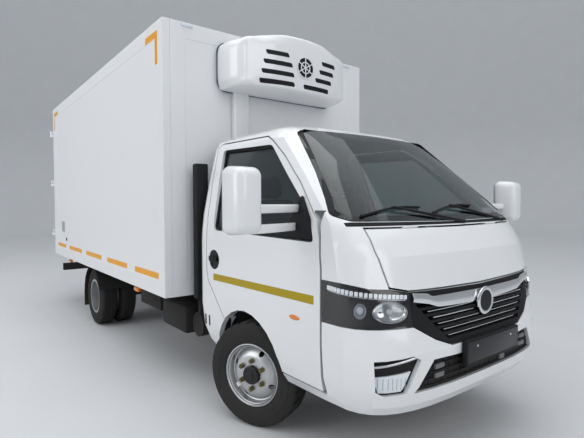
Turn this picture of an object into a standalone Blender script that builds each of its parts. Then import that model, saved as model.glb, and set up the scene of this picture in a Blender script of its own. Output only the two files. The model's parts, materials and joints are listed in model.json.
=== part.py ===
# Refrigerated light truck: ladder chassis, short-nosed cab, insulated box body and front cooling unit.
# Metres, +Z up, the nose towards -Y, the driver's left at +X, the origin under the middle of the length.
import math

import bmesh
import bpy
from mathutils import Matrix, Vector

for leftover in list(bpy.data.objects):
    bpy.data.objects.remove(leftover, do_unlink=True)

# Fits shared by the whole truck
seat_gap = 0.0003          # between pieces that rest on each other
run_gap = 0.006            # between a moving panel and what frames it
overrun = 0.02             # how far a cutting shape passes the face that it cuts
merge_distance = 0.00001   # corners nearer than this are one
sharp_angle = math.radians(35)

# Overall layout, distances along the truck counted back from the front axle
wheelbase = 3.13
bumper_reach = 1.105       # front axle to the bumper's face
plate_stand = 0.03         # number plate frame ahead of the bumper
cab_back = 0.66            # front axle to the cab's rear wall
box_start = 0.86
box_length = 4.13
lock_stand = 0.04          # lock bars behind the rear doors
front_end = bumper_reach + plate_stand
rear_end = box_start + box_length + lock_stand
axle_y = front_end - (front_end + rear_end) / 2

# Wheels: one size of commercial tyre all round, twins at the back
tyre_radius = 0.322
tyre_width = 0.182
rim_flange_radius = 0.193
rim_seat_radius = 0.178
rim_half_width = 0.078
steer_rest = math.radians(22)
twin_outer_x = 0.885
twin_spacing = 0.212
wheel_steps = 24

# Cab
cab_bottom = 0.36
cab_height = 1.53
cab_half_width = 0.85
cab_wall = 0.035
track_in = 0.06            # middle of the front tyres inside the cab's widest face
kingpin_in = 0.05          # kingpins inside the middle of the tyres
front_track_half = cab_half_width - track_in
kingpin_x = front_track_half - kingpin_in
door_thickness = 0.06
nose_wall = 0.02
corner_power = 3.5         # how square the cab is in plan, 2 is an ellipse
rear_corner = 0.05
front_steps = 9
arch_radius = 0.385
arch_back = 0.04           # wheel arch centre behind the axle
arch_height = 0.315

# Box body
box_half_width = 1.037
box_bottom = 0.671
box_height = 2.083
box_wall = 0.06
box_floor_depth = 0.09
box_roof_depth = 0.08
edge_rail = 0.12           # width of the edge profiles that frame each panel
edge_proud = 0.003

# Ladder chassis
rail_x = 0.36
rail_width = 0.05
rail_top = 0.62
rail_height = 0.11
rail_wall = 0.005
rail_drop = 0.15           # how much lower the rails run under the cab's footwell

finishes = {
    "white_paint": ((0.80, 0.81, 0.82), 0.25, 0.0),
    "box_white": ((0.80, 0.81, 0.82), 0.4, 0.0),
    "black_plastic": ((0.02, 0.02, 0.022), 0.55, 0.0),
    "chassis_black": ((0.015, 0.015, 0.016), 0.5, 0.2),
    "rubber": ((0.018, 0.018, 0.018), 0.8, 0.0),
    "wheel_silver": ((0.55, 0.56, 0.57), 0.35, 0.9),
    "cast_metal": ((0.25, 0.25, 0.26), 0.55, 0.8),
    "glass_dark": ((0.03, 0.035, 0.04), 0.05, 0.0),
    "lamp_lens": ((0.35, 0.36, 0.38), 0.1, 0.0),
    "grey_fabric": ((0.12, 0.12, 0.125), 0.9, 0.0),
}


def finish(name):
    """The material of that name, made the first time it is asked for."""
    made = bpy.data.materials.get(name)
    if made:
        return made
    colour, roughness, metallic = finishes[name]
    made = bpy.data.materials.new(name)
    made.use_nodes = True
    surface = made.node_tree.nodes["Principled BSDF"]
    surface.inputs["Base Color"].default_value = (*colour, 1.0)
    surface.inputs["Roughness"].default_value = roughness
    surface.inputs["Metallic"].default_value = metallic
    return made


def place(name, bm, finish_name):
    """Turns a bmesh into a named object with its material and smooth round faces."""
    bmesh.ops.remove_doubles(bm, verts=bm.verts, dist=merge_distance)
    bmesh.ops.recalc_face_normals(bm, faces=bm.faces)
    mesh = bpy.data.meshes.new(name)
    bm.to_mesh(mesh)
    bm.free()
    mesh.shade_smooth()
    mesh.set_sharp_from_angle(angle=sharp_angle)
    mesh.materials.append(finish(finish_name))
    made = bpy.data.objects.new(name, mesh)
    bpy.context.scene.collection.objects.link(made)
    return made


def block(name, low, high, finish_name, edge=0.0):
    """A box between two corners, its edges rounded where edge is given."""
    bm = bmesh.new()
    bmesh.ops.create_cube(bm, size=1.0)
    size = [b - a for a, b in zip(low, high)]
    middle = [(a + b) / 2 for a, b in zip(low, high)]
    bmesh.ops.scale(bm, vec=size, verts=bm.verts)
    bmesh.ops.translate(bm, vec=middle, verts=bm.verts)
    if edge:
        bmesh.ops.bevel(bm, geom=bm.edges, offset=edge, segments=2, profile=0.5, affect='EDGES', material=-1)
    return place(name, bm, finish_name)


def on_axis(axis, first, second, along):
    """A point from its place in an outline and its place along the axis that the outline faces."""
    return {"X": (along, first, second), "Y": (first, along, second), "Z": (first, second, along)}[axis]


def prism(name, outline, axis, start, end, finish_name):
    """An outline pushed out along one axis from start to end."""
    bm = bmesh.new()
    ring = [bm.verts.new(on_axis(axis, a, b, start)) for a, b in outline]
    face = bm.faces.new(ring)
    pushed = bmesh.ops.extrude_face_region(bm, geom=[face])["geom"]
    moved = [v for v in pushed if isinstance(v, bmesh.types.BMVert)]
    bmesh.ops.translate(bm, vec=on_axis(axis, 0, 0, end - start), verts=moved)
    return place(name, bm, finish_name)


def loft(name, rings, finish_name):
    """Closed rings of equal count joined one to the next, the first and last capped, in flat triangles."""
    bm = bmesh.new()
    rows = [[bm.verts.new(point) for point in ring] for ring in rings]
    for lower, upper in zip(rows, rows[1:]):
        for step in range(len(lower)):
            after = (step + 1) % len(lower)
            bm.faces.new((lower[step], lower[after], upper[after], upper[step]))
    bm.faces.new(rows[0])
    bm.faces.new(rows[-1])
    bmesh.ops.triangulate(bm, faces=bm.faces)
    return place(name, bm, finish_name)


def turned(name, profile, axis, centre, finish_name, steps=wheel_steps):
    """A closed profile of (radius, place along the axis) turned once round that axis."""
    bm = bmesh.new()
    side = {"X": (0, 1, 0), "Y": (0, 0, 1), "Z": (1, 0, 0)}[axis]
    line = {"X": (1, 0, 0), "Y": (0, 1, 0), "Z": (0, 0, 1)}[axis]
    outline = [Vector(side) * radius + Vector(line) * along for radius, along in profile]
    verts = [bm.verts.new(point) for point in outline]
    edges = [bm.edges.new((a, b)) for a, b in zip(verts, verts[1:] + verts[:1])]
    bmesh.ops.spin(bm, geom=verts + edges, cent=(0, 0, 0), axis=line, angle=math.tau, steps=steps,
                   use_merge=True)
    bmesh.ops.remove_doubles(bm, verts=bm.verts, dist=merge_distance)
    bmesh.ops.delete(bm, geom=[edge for edge in bm.edges if not edge.link_faces], context='EDGES')
    bmesh.ops.translate(bm, vec=centre, verts=bm.verts)
    return place(name, bm, finish_name)


def rod(name, start, end, radius, finish_name, steps=12):
    """A round bar between two points."""
    bm = bmesh.new()
    start, end = Vector(start), Vector(end)
    along = end - start
    turn = along.to_track_quat('Z', 'Y').to_matrix().to_4x4()
    spot = Matrix.Translation((start + end) / 2) @ turn
    bmesh.ops.create_cone(bm, cap_ends=True, segments=steps, radius1=radius, radius2=radius,
                          depth=along.length, matrix=spot)
    return place(name, bm, finish_name)


def combine(target, other, operation):
    """Applies one exact Boolean to target and removes the other object."""
    kept = target.data.materials[0]
    step = target.modifiers.new("combine", 'BOOLEAN')
    step.operation = operation
    step.solver = 'EXACT'
    step.object = other
    bpy.context.view_layer.update()
    shaped = bpy.data.meshes.new_from_object(target.evaluated_get(bpy.context.evaluated_depsgraph_get()))
    target.modifiers.remove(step)
    target.data = shaped
    bpy.data.objects.remove(other, do_unlink=True)
    shaped.materials.clear()
    shaped.materials.append(kept)
    for face in shaped.polygons:
        face.material_index = 0
    shaped.shade_smooth()
    shaped.set_sharp_from_angle(angle=sharp_angle)
    return target


def cut(target, *others):
    """Takes the others out of target."""
    for other in others:
        combine(target, other, 'DIFFERENCE')
    return target


def fuse(target, *others):
    """Joins the others to target as one closed body."""
    for other in others:
        combine(target, other, 'UNION')
    return target


def keep(target, other):
    """Leaves only what target shares with the other."""
    return combine(target, other, 'INTERSECT')


def shrunk(outline, gap):
    """An outline moved in by gap on every side, mitred at its corners."""
    area = sum(a[0] * b[1] - b[0] * a[1] for a, b in zip(outline, outline[1:] + outline[:1]))
    side = math.copysign(1, area)
    moved = []
    for before, point, after in zip(outline[-1:] + outline[:-1], outline, outline[1:] + outline[:1]):
        first = (Vector(point) - Vector(before)).normalized()
        second = (Vector(after) - Vector(point)).normalized()
        first_in = Vector((-first.y, first.x)) * side
        second_in = Vector((-second.y, second.x)) * side
        mitre = (first_in + second_in).normalized()
        moved.append(tuple(Vector(point) + mitre * gap / mitre.dot(first_in)))
    return moved


def rounded(outline, radius, steps=3):
    """An outline with each corner replaced by an arc that leaves its sides at radius from the corner."""
    bent = []
    for before, point, after in zip(outline[-1:] + outline[:-1], outline, outline[1:] + outline[:1]):
        corner = Vector(point)
        start = corner + (Vector(before) - corner).normalized() * radius
        end = corner + (Vector(after) - corner).normalized() * radius
        for step in range(steps + 1):
            share = step / steps
            bent.append(tuple(start.lerp(corner, share).lerp(corner.lerp(end, share), share)))
    return bent


def mirrored(half):
    """The whole outline from its half at +X, listed from one centre point to the other."""
    return half + [(-x, z) for x, z in reversed(half) if x > 0]


def back(distance):
    """The place along the truck of something that far behind the front axle."""
    return axle_y + distance


# Cab surface
# Each level: height, half width, nose reach, shoulder reach and back, as shares of the cab's own sizes
cab_level_shares = (
    (0.000, 0.935, 0.946, 0.606, 0.83),
    (0.033, 0.971, 0.977, 0.615, 0.88),
    (0.092, 0.992, 0.995, 0.615, 0.96),
    (0.196, 1.000, 1.000, 0.615, 1.00),
    (0.235, 1.000, 0.986, 0.615, 1.00),
    (0.288, 1.000, 0.964, 0.615, 1.00),
    (0.386, 1.000, 0.946, 0.606, 1.00),
    (0.493, 1.000, 0.900, 0.597, 1.00),
    (0.549, 0.994, 0.846, 0.594, 1.00),
    (0.592, 0.984, 0.792, 0.588, 1.00),
    (0.614, 0.976, 0.760, 0.570, 1.01),
    (0.778, 0.906, 0.511, 0.345, 1.04),
    (0.928, 0.829, 0.271, 0.095, 1.06),
    (0.964, 0.788, 0.208, 0.030, 1.06),
    (0.986, 0.706, 0.145, -0.036, 1.04),
    (0.997, 0.590, 0.054, -0.109, 0.98),
    (1.000, 0.490, 0.000, -0.150, 0.92),
)


def cab_ring(level, inset):
    """One level outline of the cab, moved in by inset: square-shouldered in front, round-cornered behind."""
    height_share, width_share, nose_share, shoulder_share, back_share = level
    z = cab_bottom + height_share * (cab_height - inset)
    half = cab_half_width * width_share - inset
    nose = bumper_reach * nose_share - inset
    shoulder = bumper_reach * shoulder_share - inset
    rear = cab_back * back_share - inset
    side = []
    for step in range(front_steps + 1):
        turn = math.pi / 2 * step / front_steps
        across = math.sin(turn) ** (2 / corner_power)
        ahead = math.cos(turn) ** (2 / corner_power) if step < front_steps else 0
        side.append((half * across, back(-shoulder - (nose - shoulder) * ahead)))
    for step in range(4):
        turn = math.pi / 2 * step / 3
        side.append((half - rear_corner * (1 - math.cos(turn)),
                     back(rear - rear_corner * (1 - math.sin(turn)))))
    ring = side + [(-x, y) for x, y in reversed(side) if x > 0]
    return [(x, y, z) for x, y in ring]


def cab_form(name, inset, finish_name):
    """The cab's outer form moved in by inset; moved-in forms run on below the sill to cut it open."""
    rings = [cab_ring(level, inset) for level in cab_level_shares]
    if inset:
        rings.insert(0, [(x, y, z - overrun) for x, y, z in rings[0]])
    return loft(name, rings, finish_name)


def cab_skin(name, outer, inner, finish_name):
    """The layer of the cab between two depths below its surface."""
    return cut(cab_form(name, outer, finish_name), cab_form("inside", inner, finish_name))


def cab_side(shares):
    """Side outline from shares of the cab's length behind the nose and of its height above the sill."""
    length = bumper_reach + cab_back
    return [(back(along * length - bumper_reach), cab_bottom + up * cab_height) for along, up in shares]


def cab_front(shares):
    """Whole front outline from its half, as shares of the cab's half width and height."""
    return mirrored([(across * cab_half_width, cab_bottom + up * cab_height) for across, up in shares])


# Outlines seen from the side: (along the cab, up)
door_shares = ((0.237, 0.033), (0.237, 0.451), (0.245, 0.549), (0.263, 0.608), (0.374, 0.745), (0.484, 0.850),
               (0.581, 0.925), (0.626, 0.948), (0.966, 0.956), (0.985, 0.935), (0.9575, 0.729),
               (0.938, 0.562),
               (0.9405, 0.366), (0.926, 0.307), (0.853, 0.222), (0.779, 0.131), (0.569, 0.033))
window_shares = ((0.271, 0.533), (0.3, 0.625), (0.583, 0.905), (0.93, 0.918), (0.90, 0.72), (0.879, 0.545))

# Outlines seen from the front, the half at +X: (across, up)
screen_shares = ((0.0, 0.5975), (0.88, 0.604), (0.955, 0.622), (0.735, 0.945), (0.68, 0.962), (0.0, 0.970))
cowl_shares = ((0.0, 0.5865), (0.92, 0.589), (0.92, 0.601), (0.88, 0.6025), (0.0, 0.596))
bonnet_shares = ((0.0, 0.376), (0.68, 0.3835), (0.80, 0.398), (0.832, 0.50), (0.832, 0.586), (0.0, 0.582))
lamp_shares = ((0.682, 0.3835), (0.80, 0.396), (0.9, 0.400), (0.98, 0.413), (1.1, 0.43), (1.1, 0.278),
               (0.67, 0.276))
grille_shares = ((0.0, 0.197), (0.396, 0.204), (0.527, 0.232), (0.668, 0.278), (0.678, 0.382), (0.0, 0.3735))
bumper_shares = ((0.0, -0.1), (1.2, -0.1), (1.2, 0.277), (0.672, 0.275), (0.530, 0.2285), (0.398, 0.2005),
                 (0.0, 0.1935))
low_grille_shares = ((0.0, 0.071), (0.688, 0.072), (0.553, 0.169), (0.0, 0.160))
fog_shares = ((0.899, 0.087), (0.855, 0.071), (0.735, 0.075), (0.652, 0.177), (0.706, 0.191), (0.911, 0.182))

door_hinge_in = 0.05       # door hinge axis inside the cab's widest face
door_hinge_back = 0.047    # and behind the door's seam
door_gap = 0.0095
door_seam_y = cab_side(door_shares)[0][0]
door_seam = door_seam_y - axle_y   # the seam's place behind the axle
door_hinge_x = cab_half_width - door_hinge_in
door_hinge_y = door_seam_y + door_hinge_back
door_reach_in = 0.25       # how far doors and openings reach in under the roof edge
door_inner_x = cab_half_width - door_reach_in
door_clearance = 0.009     # between the door's swept front edge and the fender behind its skin
door_pivot_radius = 0.01
door_sill_z = cab_side(door_shares)[0][1]
belt_z = cab_side(door_shares)[2][1]
screen_depth = 0.006
screen_corner = 0.022
window_corner = 0.03
glass_in = 0.022           # side glass below the door's face
glass_depth = 0.005
bonnet_depth = 0.02
bonnet_gap = 0.0095
lamp_depth = 0.06
insert_depth = 0.05
grille_depth = 0.03
roof_edge_y = back(-0.05)
cowl_depth = 0.03

ahead_y = back(-bumper_reach - overrun)
nose_back = door_seam_y
cab_side_reach = cab_half_width + 2 * overrun


def side_prism(name, outline, side, inner):
    """A side outline pushed from inner out past the side of the cab."""
    start, end = sorted((side * inner, side * cab_side_reach))
    return prism(name, outline, "X", start, end, "white_paint")


def front_prism(name, outline, end_y):
    """A front outline pushed back from ahead of the nose to end_y."""
    return prism(name, outline, "Y", ahead_y, end_y, "white_paint")


def arch_cutter(side):
    """The round opening that the front wheel turns in."""
    inner, outer = sorted((side * kingpin_x / 2, side * cab_side_reach))
    return rod("arch", (inner, back(arch_back), arch_height), (outer, back(arch_back), arch_height),
               arch_radius, "white_paint", 28)


def half_at(up):
    """The cab's half width at a share of its height."""
    for lower, upper in zip(cab_level_shares, cab_level_shares[1:]):
        if lower[0] <= up <= upper[0]:
            along = (up - lower[0]) / (upper[0] - lower[0])
            return cab_half_width * (lower[1] + (upper[1] - lower[1]) * along)


def door_sweep_cutter(side):
    """What the door's front edge needs behind the fender's skin as the door turns."""
    levels = []
    for (y, z), (along, up) in list(zip(cab_side(door_shares), door_shares))[1:4]:
        ahead = max(0, door_hinge_y - y - door_gap)
        levels.append((math.hypot(half_at(up) - door_hinge_x, ahead) + door_clearance, z))
    foot = (levels[0][0], door_sill_z)
    head = (levels[-1][0], levels[-1][1] + door_hinge_in)
    profile = [(0, foot[1]), foot, *levels, head, (0, head[1])]
    return turned("sweep", profile, "Z", (side * door_hinge_x, door_hinge_y, 0), "white_paint", 16)


# Whole opening of the cab's nose, for bumper, lamps, grille and bonnet: the half at +X, (across, up)
nose_shares = ((0.0, -0.1), (1.2, -0.1), (1.1, 0.43), (0.98, 0.413), (0.9, 0.400), (0.80, 0.397),
               (0.682, 0.3835), (0.0, 0.3745))


# Door post inside the nose, which ties the sill to the corner panel above the headlight
notch_in = 0.15            # side of the opening under the rear wall for the frame and gearbox
notch_half = cab_half_width - notch_in
post_depth = 0.028
post_length = 0.085
post_in_skin = 0.065       # post's outer face inside the cab's widest face
post_ahead = 0.028         # post's rear face ahead of the door's seam
post_out = cab_half_width - post_in_skin
post_in = post_out - post_depth
post_back = door_seam - post_ahead
post_front = post_back - post_length
post_step = 0.01           # how far the post's foot and head stand past it or behind it
post_foot_length = 0.08
post_low = 0.405
post_head_low = 1.02
post_head_high = 1.18


def door_post(side, more=0.0):
    """The hollow cab's front door post, its foot on the sill and its head in the corner panel."""
    def span(inner, outer, front, rear, low, high):
        start, end = sorted((side * (inner - more), side * (outer + more)))
        return block("post", (start, back(front - more), low - more), (end, back(rear + more), high + more),
                     "white_paint")
    post = span(post_in, post_out, post_front, post_back, cab_bottom + seat_gap, post_head_high)
    foot = span(post_in - post_step, post_out, post_front + 2 * post_step, post_back + post_foot_length,
                cab_bottom + seat_gap, post_low)
    head = span(post_in + post_step, cab_half_width - cab_wall / 2, post_front + post_step,
                post_back + post_step / 2, post_head_low, post_head_high - post_step)
    return fuse(post, foot, head)


bonnet_hinge_share = 0.47
bonnet_hinge_x = cab_half_width * bonnet_hinge_share
barrel_half = 0.02
barrel_radius = 0.007
barrel_clearance = 0.002
bonnet_hinge_up_share = 0.58268
bonnet_hinge_reach_share = 0.79593
bonnet_hinge_back = -bumper_reach * bonnet_hinge_reach_share   # at the bonnet's upper edge
bonnet_hinge_z = cab_bottom + cab_height * bonnet_hinge_up_share


def hinge_barrel(middle, half, radius):
    """A length of the bonnet's hinge barrel about the place middle along its axis."""
    spot = (back(bonnet_hinge_back), bonnet_hinge_z)
    return rod("barrel", (middle - half, *spot), (middle + half, *spot), radius, "white_paint")


def hinge_bonnet(piece, own, free):
    """Gives a piece its lengths of both hinge barrels and room for the other's, in half lengths."""
    for side in (1, -1):
        for shift in own:
            middle = side * bonnet_hinge_x + shift * barrel_half
            fuse(piece, hinge_barrel(middle, barrel_half - seat_gap / 2, barrel_radius))
        for shift in free:
            middle = side * bonnet_hinge_x + shift * barrel_half
            cut(piece, hinge_barrel(middle, barrel_half, barrel_radius + barrel_clearance))


def build_cab_shell():
    shell = cab_skin("cab_shell", 0.0, cab_wall, "white_paint")
    cut(shell, front_prism("screen", rounded(cab_front(screen_shares), screen_corner), roof_edge_y),
        front_prism("bonnet", cab_front(bonnet_shares), nose_back),
        front_prism("nose", cab_front(nose_shares), nose_back),
        front_prism("cowl", cab_front(cowl_shares), roof_edge_y))
    for side in (1, -1):
        cut(shell, side_prism("opening", cab_side(door_shares), side, door_inner_x))
    hinge_bonnet(shell, (-2, 2), (0,))
    for side in (1, -1):
        cut(shell, arch_cutter(side))
        fuse(shell, door_post(side))
        cut(shell, door_sweep_cutter(side))
        pivot = rod("pivot", (side * door_hinge_x, door_hinge_y, door_sill_z - overrun),
                    (side * door_hinge_x, door_hinge_y, door_sill_z + door_gap - seat_gap),
                    door_pivot_radius, "white_paint")
        fuse(shell, pivot)
    cut(shell, block("rear_notch", (-notch_half, back(cab_back / 2), cab_bottom - overrun),
                     (notch_half, back(cab_back + 2 * rear_corner), seat_deck_z + pan_depth), "white_paint"))
    return shell


def build_screen():
    glass = cab_skin("windscreen", 0.0, screen_depth, "glass_dark")
    outline = rounded(shrunk(cab_front(screen_shares), seat_gap), screen_corner)
    return keep(glass, front_prism("edge", outline, roof_edge_y - seat_gap))


def build_doors():
    for side, label in ((1, "left"), (-1, "right")):
        outline = cab_side(door_shares)
        window = cab_side(window_shares)
        door = cab_skin("door_" + label, 0.0, door_thickness, "white_paint")
        keep(door, side_prism("edge", shrunk(outline, door_gap), side, door_inner_x))
        cut(door, arch_cutter(side), side_prism("window", rounded(window, window_corner), side,
                                                door_inner_x / 2))
        glass = cab_skin("door_glass_" + label, glass_in, glass_in + glass_depth, "glass_dark")
        keep(glass, side_prism("edge", rounded(shrunk(window, seat_gap), window_corner), side, door_inner_x))


# Front end
insert_shares = ((0.0, 0.05), (0.94, 0.05), (0.94, 0.20), (0.45, 0.19), (0.0, 0.18))
insert_back_share = 0.66
grille_slots = 6
grille_low_share = 0.222
grille_high_share = 0.352
slot_open_share = 0.62
slot_low_share = 0.40
slot_high_share = 0.64
slot_lean_share = 0.02
plate_half = 0.266
plate_low = 0.545
plate_high = 0.132
plate_edge = 0.006


def build_front_end():
    bumper = cab_skin("bumper", 0.0, nose_wall, "white_paint")
    keep(bumper, front_prism("edge", shrunk(cab_front(bumper_shares), seat_gap), nose_back - seat_gap))
    cut(bumper, front_prism("low_grille", cab_front(low_grille_shares), nose_back - overrun))
    fog = [(across * cab_half_width, cab_bottom + up * cab_height) for across, up in fog_shares]
    for side in (1, -1):
        cut(bumper, front_prism("fog", [(side * x, z) for x, z in fog], back(-cab_back)))
        cut(bumper, door_sweep_cutter(side), door_post(side, seat_gap))

    insert = cab_skin("bumper_insert", nose_wall + seat_gap, insert_depth, "black_plastic")
    keep(insert, front_prism("edge", cab_front(insert_shares), back(-bumper_reach * insert_back_share)))
    cut(insert, door_post(1, seat_gap), door_post(-1, seat_gap))

    grille = cab_skin("grille", 0.0, grille_depth, "black_plastic")
    keep(grille, front_prism("edge", shrunk(cab_front(grille_shares), seat_gap), nose_back - overrun))
    for step in range(grille_slots):
        low = grille_low_share + (grille_high_share - grille_low_share) * step / grille_slots
        high = low + (grille_high_share - grille_low_share) / grille_slots * slot_open_share
        wide = slot_low_share + (slot_high_share - slot_low_share) * (step + 1) / grille_slots
        slot = ((0.0, low), (wide - slot_lean_share, low), (wide, high), (0.0, high))
        cut(grille, front_prism("slot", cab_front(slot), nose_back - overrun))

    for side, label in ((1, "left"), (-1, "right")):
        lamp = cab_skin("headlight_" + label, 0.0, lamp_depth, "lamp_lens")
        outline = [(side * across * cab_half_width, cab_bottom + up * cab_height) for across,
                   up in lamp_shares]
        keep(lamp, front_prism("edge", shrunk(outline, seat_gap), nose_back - seat_gap))
        cut(lamp, door_sweep_cutter(side), door_post(side, seat_gap))

    bonnet = cab_skin("bonnet", 0.0, bonnet_depth, "white_paint")
    keep(bonnet, front_prism("edge", shrunk(cab_front(bonnet_shares), bonnet_gap), nose_back - run_gap))

    hinge_bonnet(bonnet, (0,), (-2, 2))

    cowl = cab_skin("wipers", 0.0, cowl_depth, "black_plastic")
    keep(cowl, front_prism("edge", shrunk(cab_front(cowl_shares), seat_gap), roof_edge_y - seat_gap))
    for side in (1, -1):
        cut(cowl, hinge_barrel(side * bonnet_hinge_x, 4 * barrel_half, barrel_radius + run_gap))

    plate_y = back(-bumper_reach - seat_gap)
    block("plate_frame", (-plate_half, plate_y - plate_stand, plate_low),
          (plate_half, plate_y, plate_low + plate_high),
          "black_plastic", plate_edge)


# Cab floor: the side outline of a stepped pan, as (behind the axle, up)
pan_in = 0.105             # floor's edge inside the cab's widest face
pan_half = cab_half_width - pan_in
pan_depth = 0.025
footwell_ahead = 0.173     # footwell's front ahead of the doors' seam
footwell_front = door_seam - footwell_ahead
footwell_z = rail_top - rail_drop + seat_gap
seat_deck_front = -0.36
seat_deck_z = 0.735

# Seats, dashboard and steering wheel
seat_in = 0.15             # seats' ends inside the cab's widest face
seat_half = cab_half_width - seat_in
seat_front = -0.20
seat_back = 0.38
seat_base = 0.15
seat_edge = 0.03
seat_spacing = 0.78
seat_width = 0.50
backrest_depth = 0.12
backrest_lean = 0.14
backrest_height = 0.50
headrest_half = 0.13
headrest_height = 0.17
dash_ahead = 0.113         # dashboard's front ahead of the doors' seam
dash_front = door_seam - dash_ahead
dash_depth = 0.30
dash_low = 0.93
dash_top = 1.17
dash_roll = 0.07
dash_shelf_share = 0.7     # flat top of the dashboard
dash_under_share = 0.6     # its sloping underside
leg_width = 0.08
leg_inset = 0.005
wheel_x = 0.38
steering_wheel_y = -0.36
steering_wheel_z = 1.17
column_tilt = math.radians(50)
column_length = 0.28
column_radius = 0.03
steering_radius = 0.19
steering_grip = 0.014
steering_hub = 0.06
steering_hub_depth = 0.045
spoke_radius = 0.0112


def build_cab_inside():
    rear = cab_back - cab_wall - seat_gap
    upper = [(back(footwell_front), footwell_z + pan_depth), (back(seat_deck_front), footwell_z + pan_depth),
             (back(seat_deck_front), seat_deck_z + pan_depth), (back(rear), seat_deck_z + pan_depth)]
    under = [(back(rear), seat_deck_z), (back(seat_deck_front + pan_depth), seat_deck_z),
             (back(seat_deck_front + pan_depth), footwell_z), (back(footwell_front), footwell_z)]
    prism("cab_floor", upper + under, "X", -pan_half, pan_half, "black_plastic")

    deck = seat_deck_z + pan_depth + seat_gap
    seats = block("seats", (-seat_half, back(seat_front), deck),
                  (seat_half, back(seat_back), deck + seat_base),
                  "grey_fabric", seat_edge)
    for x in (-seat_spacing / 2, seat_spacing / 2):
        back_rest = [(back(seat_back - backrest_depth), deck + seat_base / 2),
                     (back(seat_back - seat_edge), deck + seat_base / 2),
                     (back(seat_back + backrest_lean), deck + seat_base + backrest_height),
                     (back(seat_back + backrest_lean - backrest_depth + seat_edge),
                      deck + seat_base + backrest_height)]
        rest = prism("rest", back_rest, "X", x - seat_width / 2, x + seat_width / 2, "grey_fabric")
        head_low = deck + seat_base + backrest_height
        head = block("head", (x - headrest_half, back(seat_back + backrest_lean - backrest_depth + seat_edge),
                              head_low - overrun),
                     (x + headrest_half, back(seat_back + backrest_lean), head_low + headrest_height),
                     "grey_fabric", seat_edge)
        fuse(seats, rest, head)

    dash = [(back(dash_front), dash_low + dash_depth / 2), (back(dash_front), dash_top),
            (back(dash_front + dash_depth * dash_shelf_share), dash_top),
            (back(dash_front + dash_depth), dash_top - dash_roll),
            (back(dash_front + dash_depth), dash_low), (back(dash_front + dash_depth * dash_under_share),
                                                        dash_low)]
    dashboard = prism("dashboard", dash, "X", -pan_half, pan_half, "black_plastic")
    hub = Vector((wheel_x, back(steering_wheel_y), steering_wheel_z))
    tilt = Vector((0, -math.cos(column_tilt), -math.sin(column_tilt)))
    column = rod("column", hub + tilt * column_radius, hub + tilt * column_length, column_radius,
                 "black_plastic")
    fuse(dashboard, fuse(steering_ring(hub, tilt), column))
    for side in (1, -1):
        start, end = sorted((side * (pan_half - leg_width), side * (pan_half - leg_inset)))
        leg = block("leg", (start, back(dash_front + overrun), deck_top(footwell_z)),
                    (end, back(dash_front + dash_depth / 3), dash_top - dash_roll), "black_plastic")
        fuse(dashboard, leg)


def deck_top(z):
    """The height at which a piece stands on a floor panel whose underside is at z."""
    return z + pan_depth + seat_gap


def steering_ring(hub, tilt):
    """The steering wheel's rim, hub disc and three spokes."""
    bm = bmesh.new()
    spot = Matrix.Translation(hub) @ tilt.to_track_quat('Z', 'Y').to_matrix().to_4x4()
    ring = [bm.verts.new((steering_radius + steering_grip * math.cos(math.tau * s / 8), 0,
                          steering_grip * math.sin(math.tau * s / 8))) for s in range(8)]
    edges = [bm.edges.new((a, b)) for a, b in zip(ring, ring[1:] + ring[:1])]
    bmesh.ops.spin(bm, geom=ring + edges, cent=(0, 0, 0), axis=(0, 0, 1), angle=math.tau, steps=24,
                   use_merge=True)
    bmesh.ops.transform(bm, matrix=spot, verts=bm.verts)
    wheel = place("ring", bm, "black_plastic")
    spokes = ((-steering_radius, 0, steering_radius, 0), (0, 0, 0, -steering_radius))
    for first_x, first_y, last_x, last_y in spokes:
        fuse(wheel, rod("spoke", spot @ Vector((first_x, first_y, 0)), spot @ Vector((last_x, last_y, 0)),
                        spoke_radius, "black_plastic", 8))
    disc = rod("disc", hub - tilt * steering_grip, hub + tilt * steering_hub_depth, steering_hub,
               "black_plastic", 13)
    return fuse(wheel, disc)


# Mirrors: a tall rounded housing on two arms from the door's front upper corner
mirror_x = 1.215
mirror_y = -0.55
mirror_low = 1.245
mirror_height = 0.305
mirror_width = 0.20
mirror_depth = 0.11
mirror_edge = 0.04
arm_radius = 0.012
arm_low_share = 0.18
arm_high_share = 0.62
arm_foot_y = -0.44


def build_mirrors():
    for side, label in ((1, "left"), (-1, "right")):
        x = side * mirror_x
        housing = block("mirror_" + label, (x - mirror_width / 2, back(mirror_y - mirror_depth), mirror_low),
                        (x + mirror_width / 2, back(mirror_y), mirror_low + mirror_height), "white_paint",
                        mirror_edge)
        for share in (arm_low_share, arm_high_share):
            z = mirror_low + mirror_height * share
            foot = (side * (cab_half_width - door_thickness), back(arm_foot_y), z)
            arm = rod("arm", (x, back(mirror_y - mirror_depth / 2), z), foot, arm_radius, "white_paint", 10)
            fuse(housing, arm)
        cut(housing, cab_form("door_face", -seat_gap, "white_paint"))


# Chassis
chassis_front = -0.98
chassis_tail = 0.10        # rails end this far ahead of the rear doors
drop_start = -0.32
drop_end = -0.08
cross_radius = 0.03
mount_half = 0.03
mount_back = 0.44
pad_half = 0.022           # lift pads under the side members
pad_back = 1.80
pad_length = 0.12
pad_drop = 0.012
cross_places_share = (0.02, 0.30, 0.45, 0.62, 0.84, 0.97)


def box_back():
    """The rear face of the box body."""
    return back(box_start + box_length)


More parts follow.
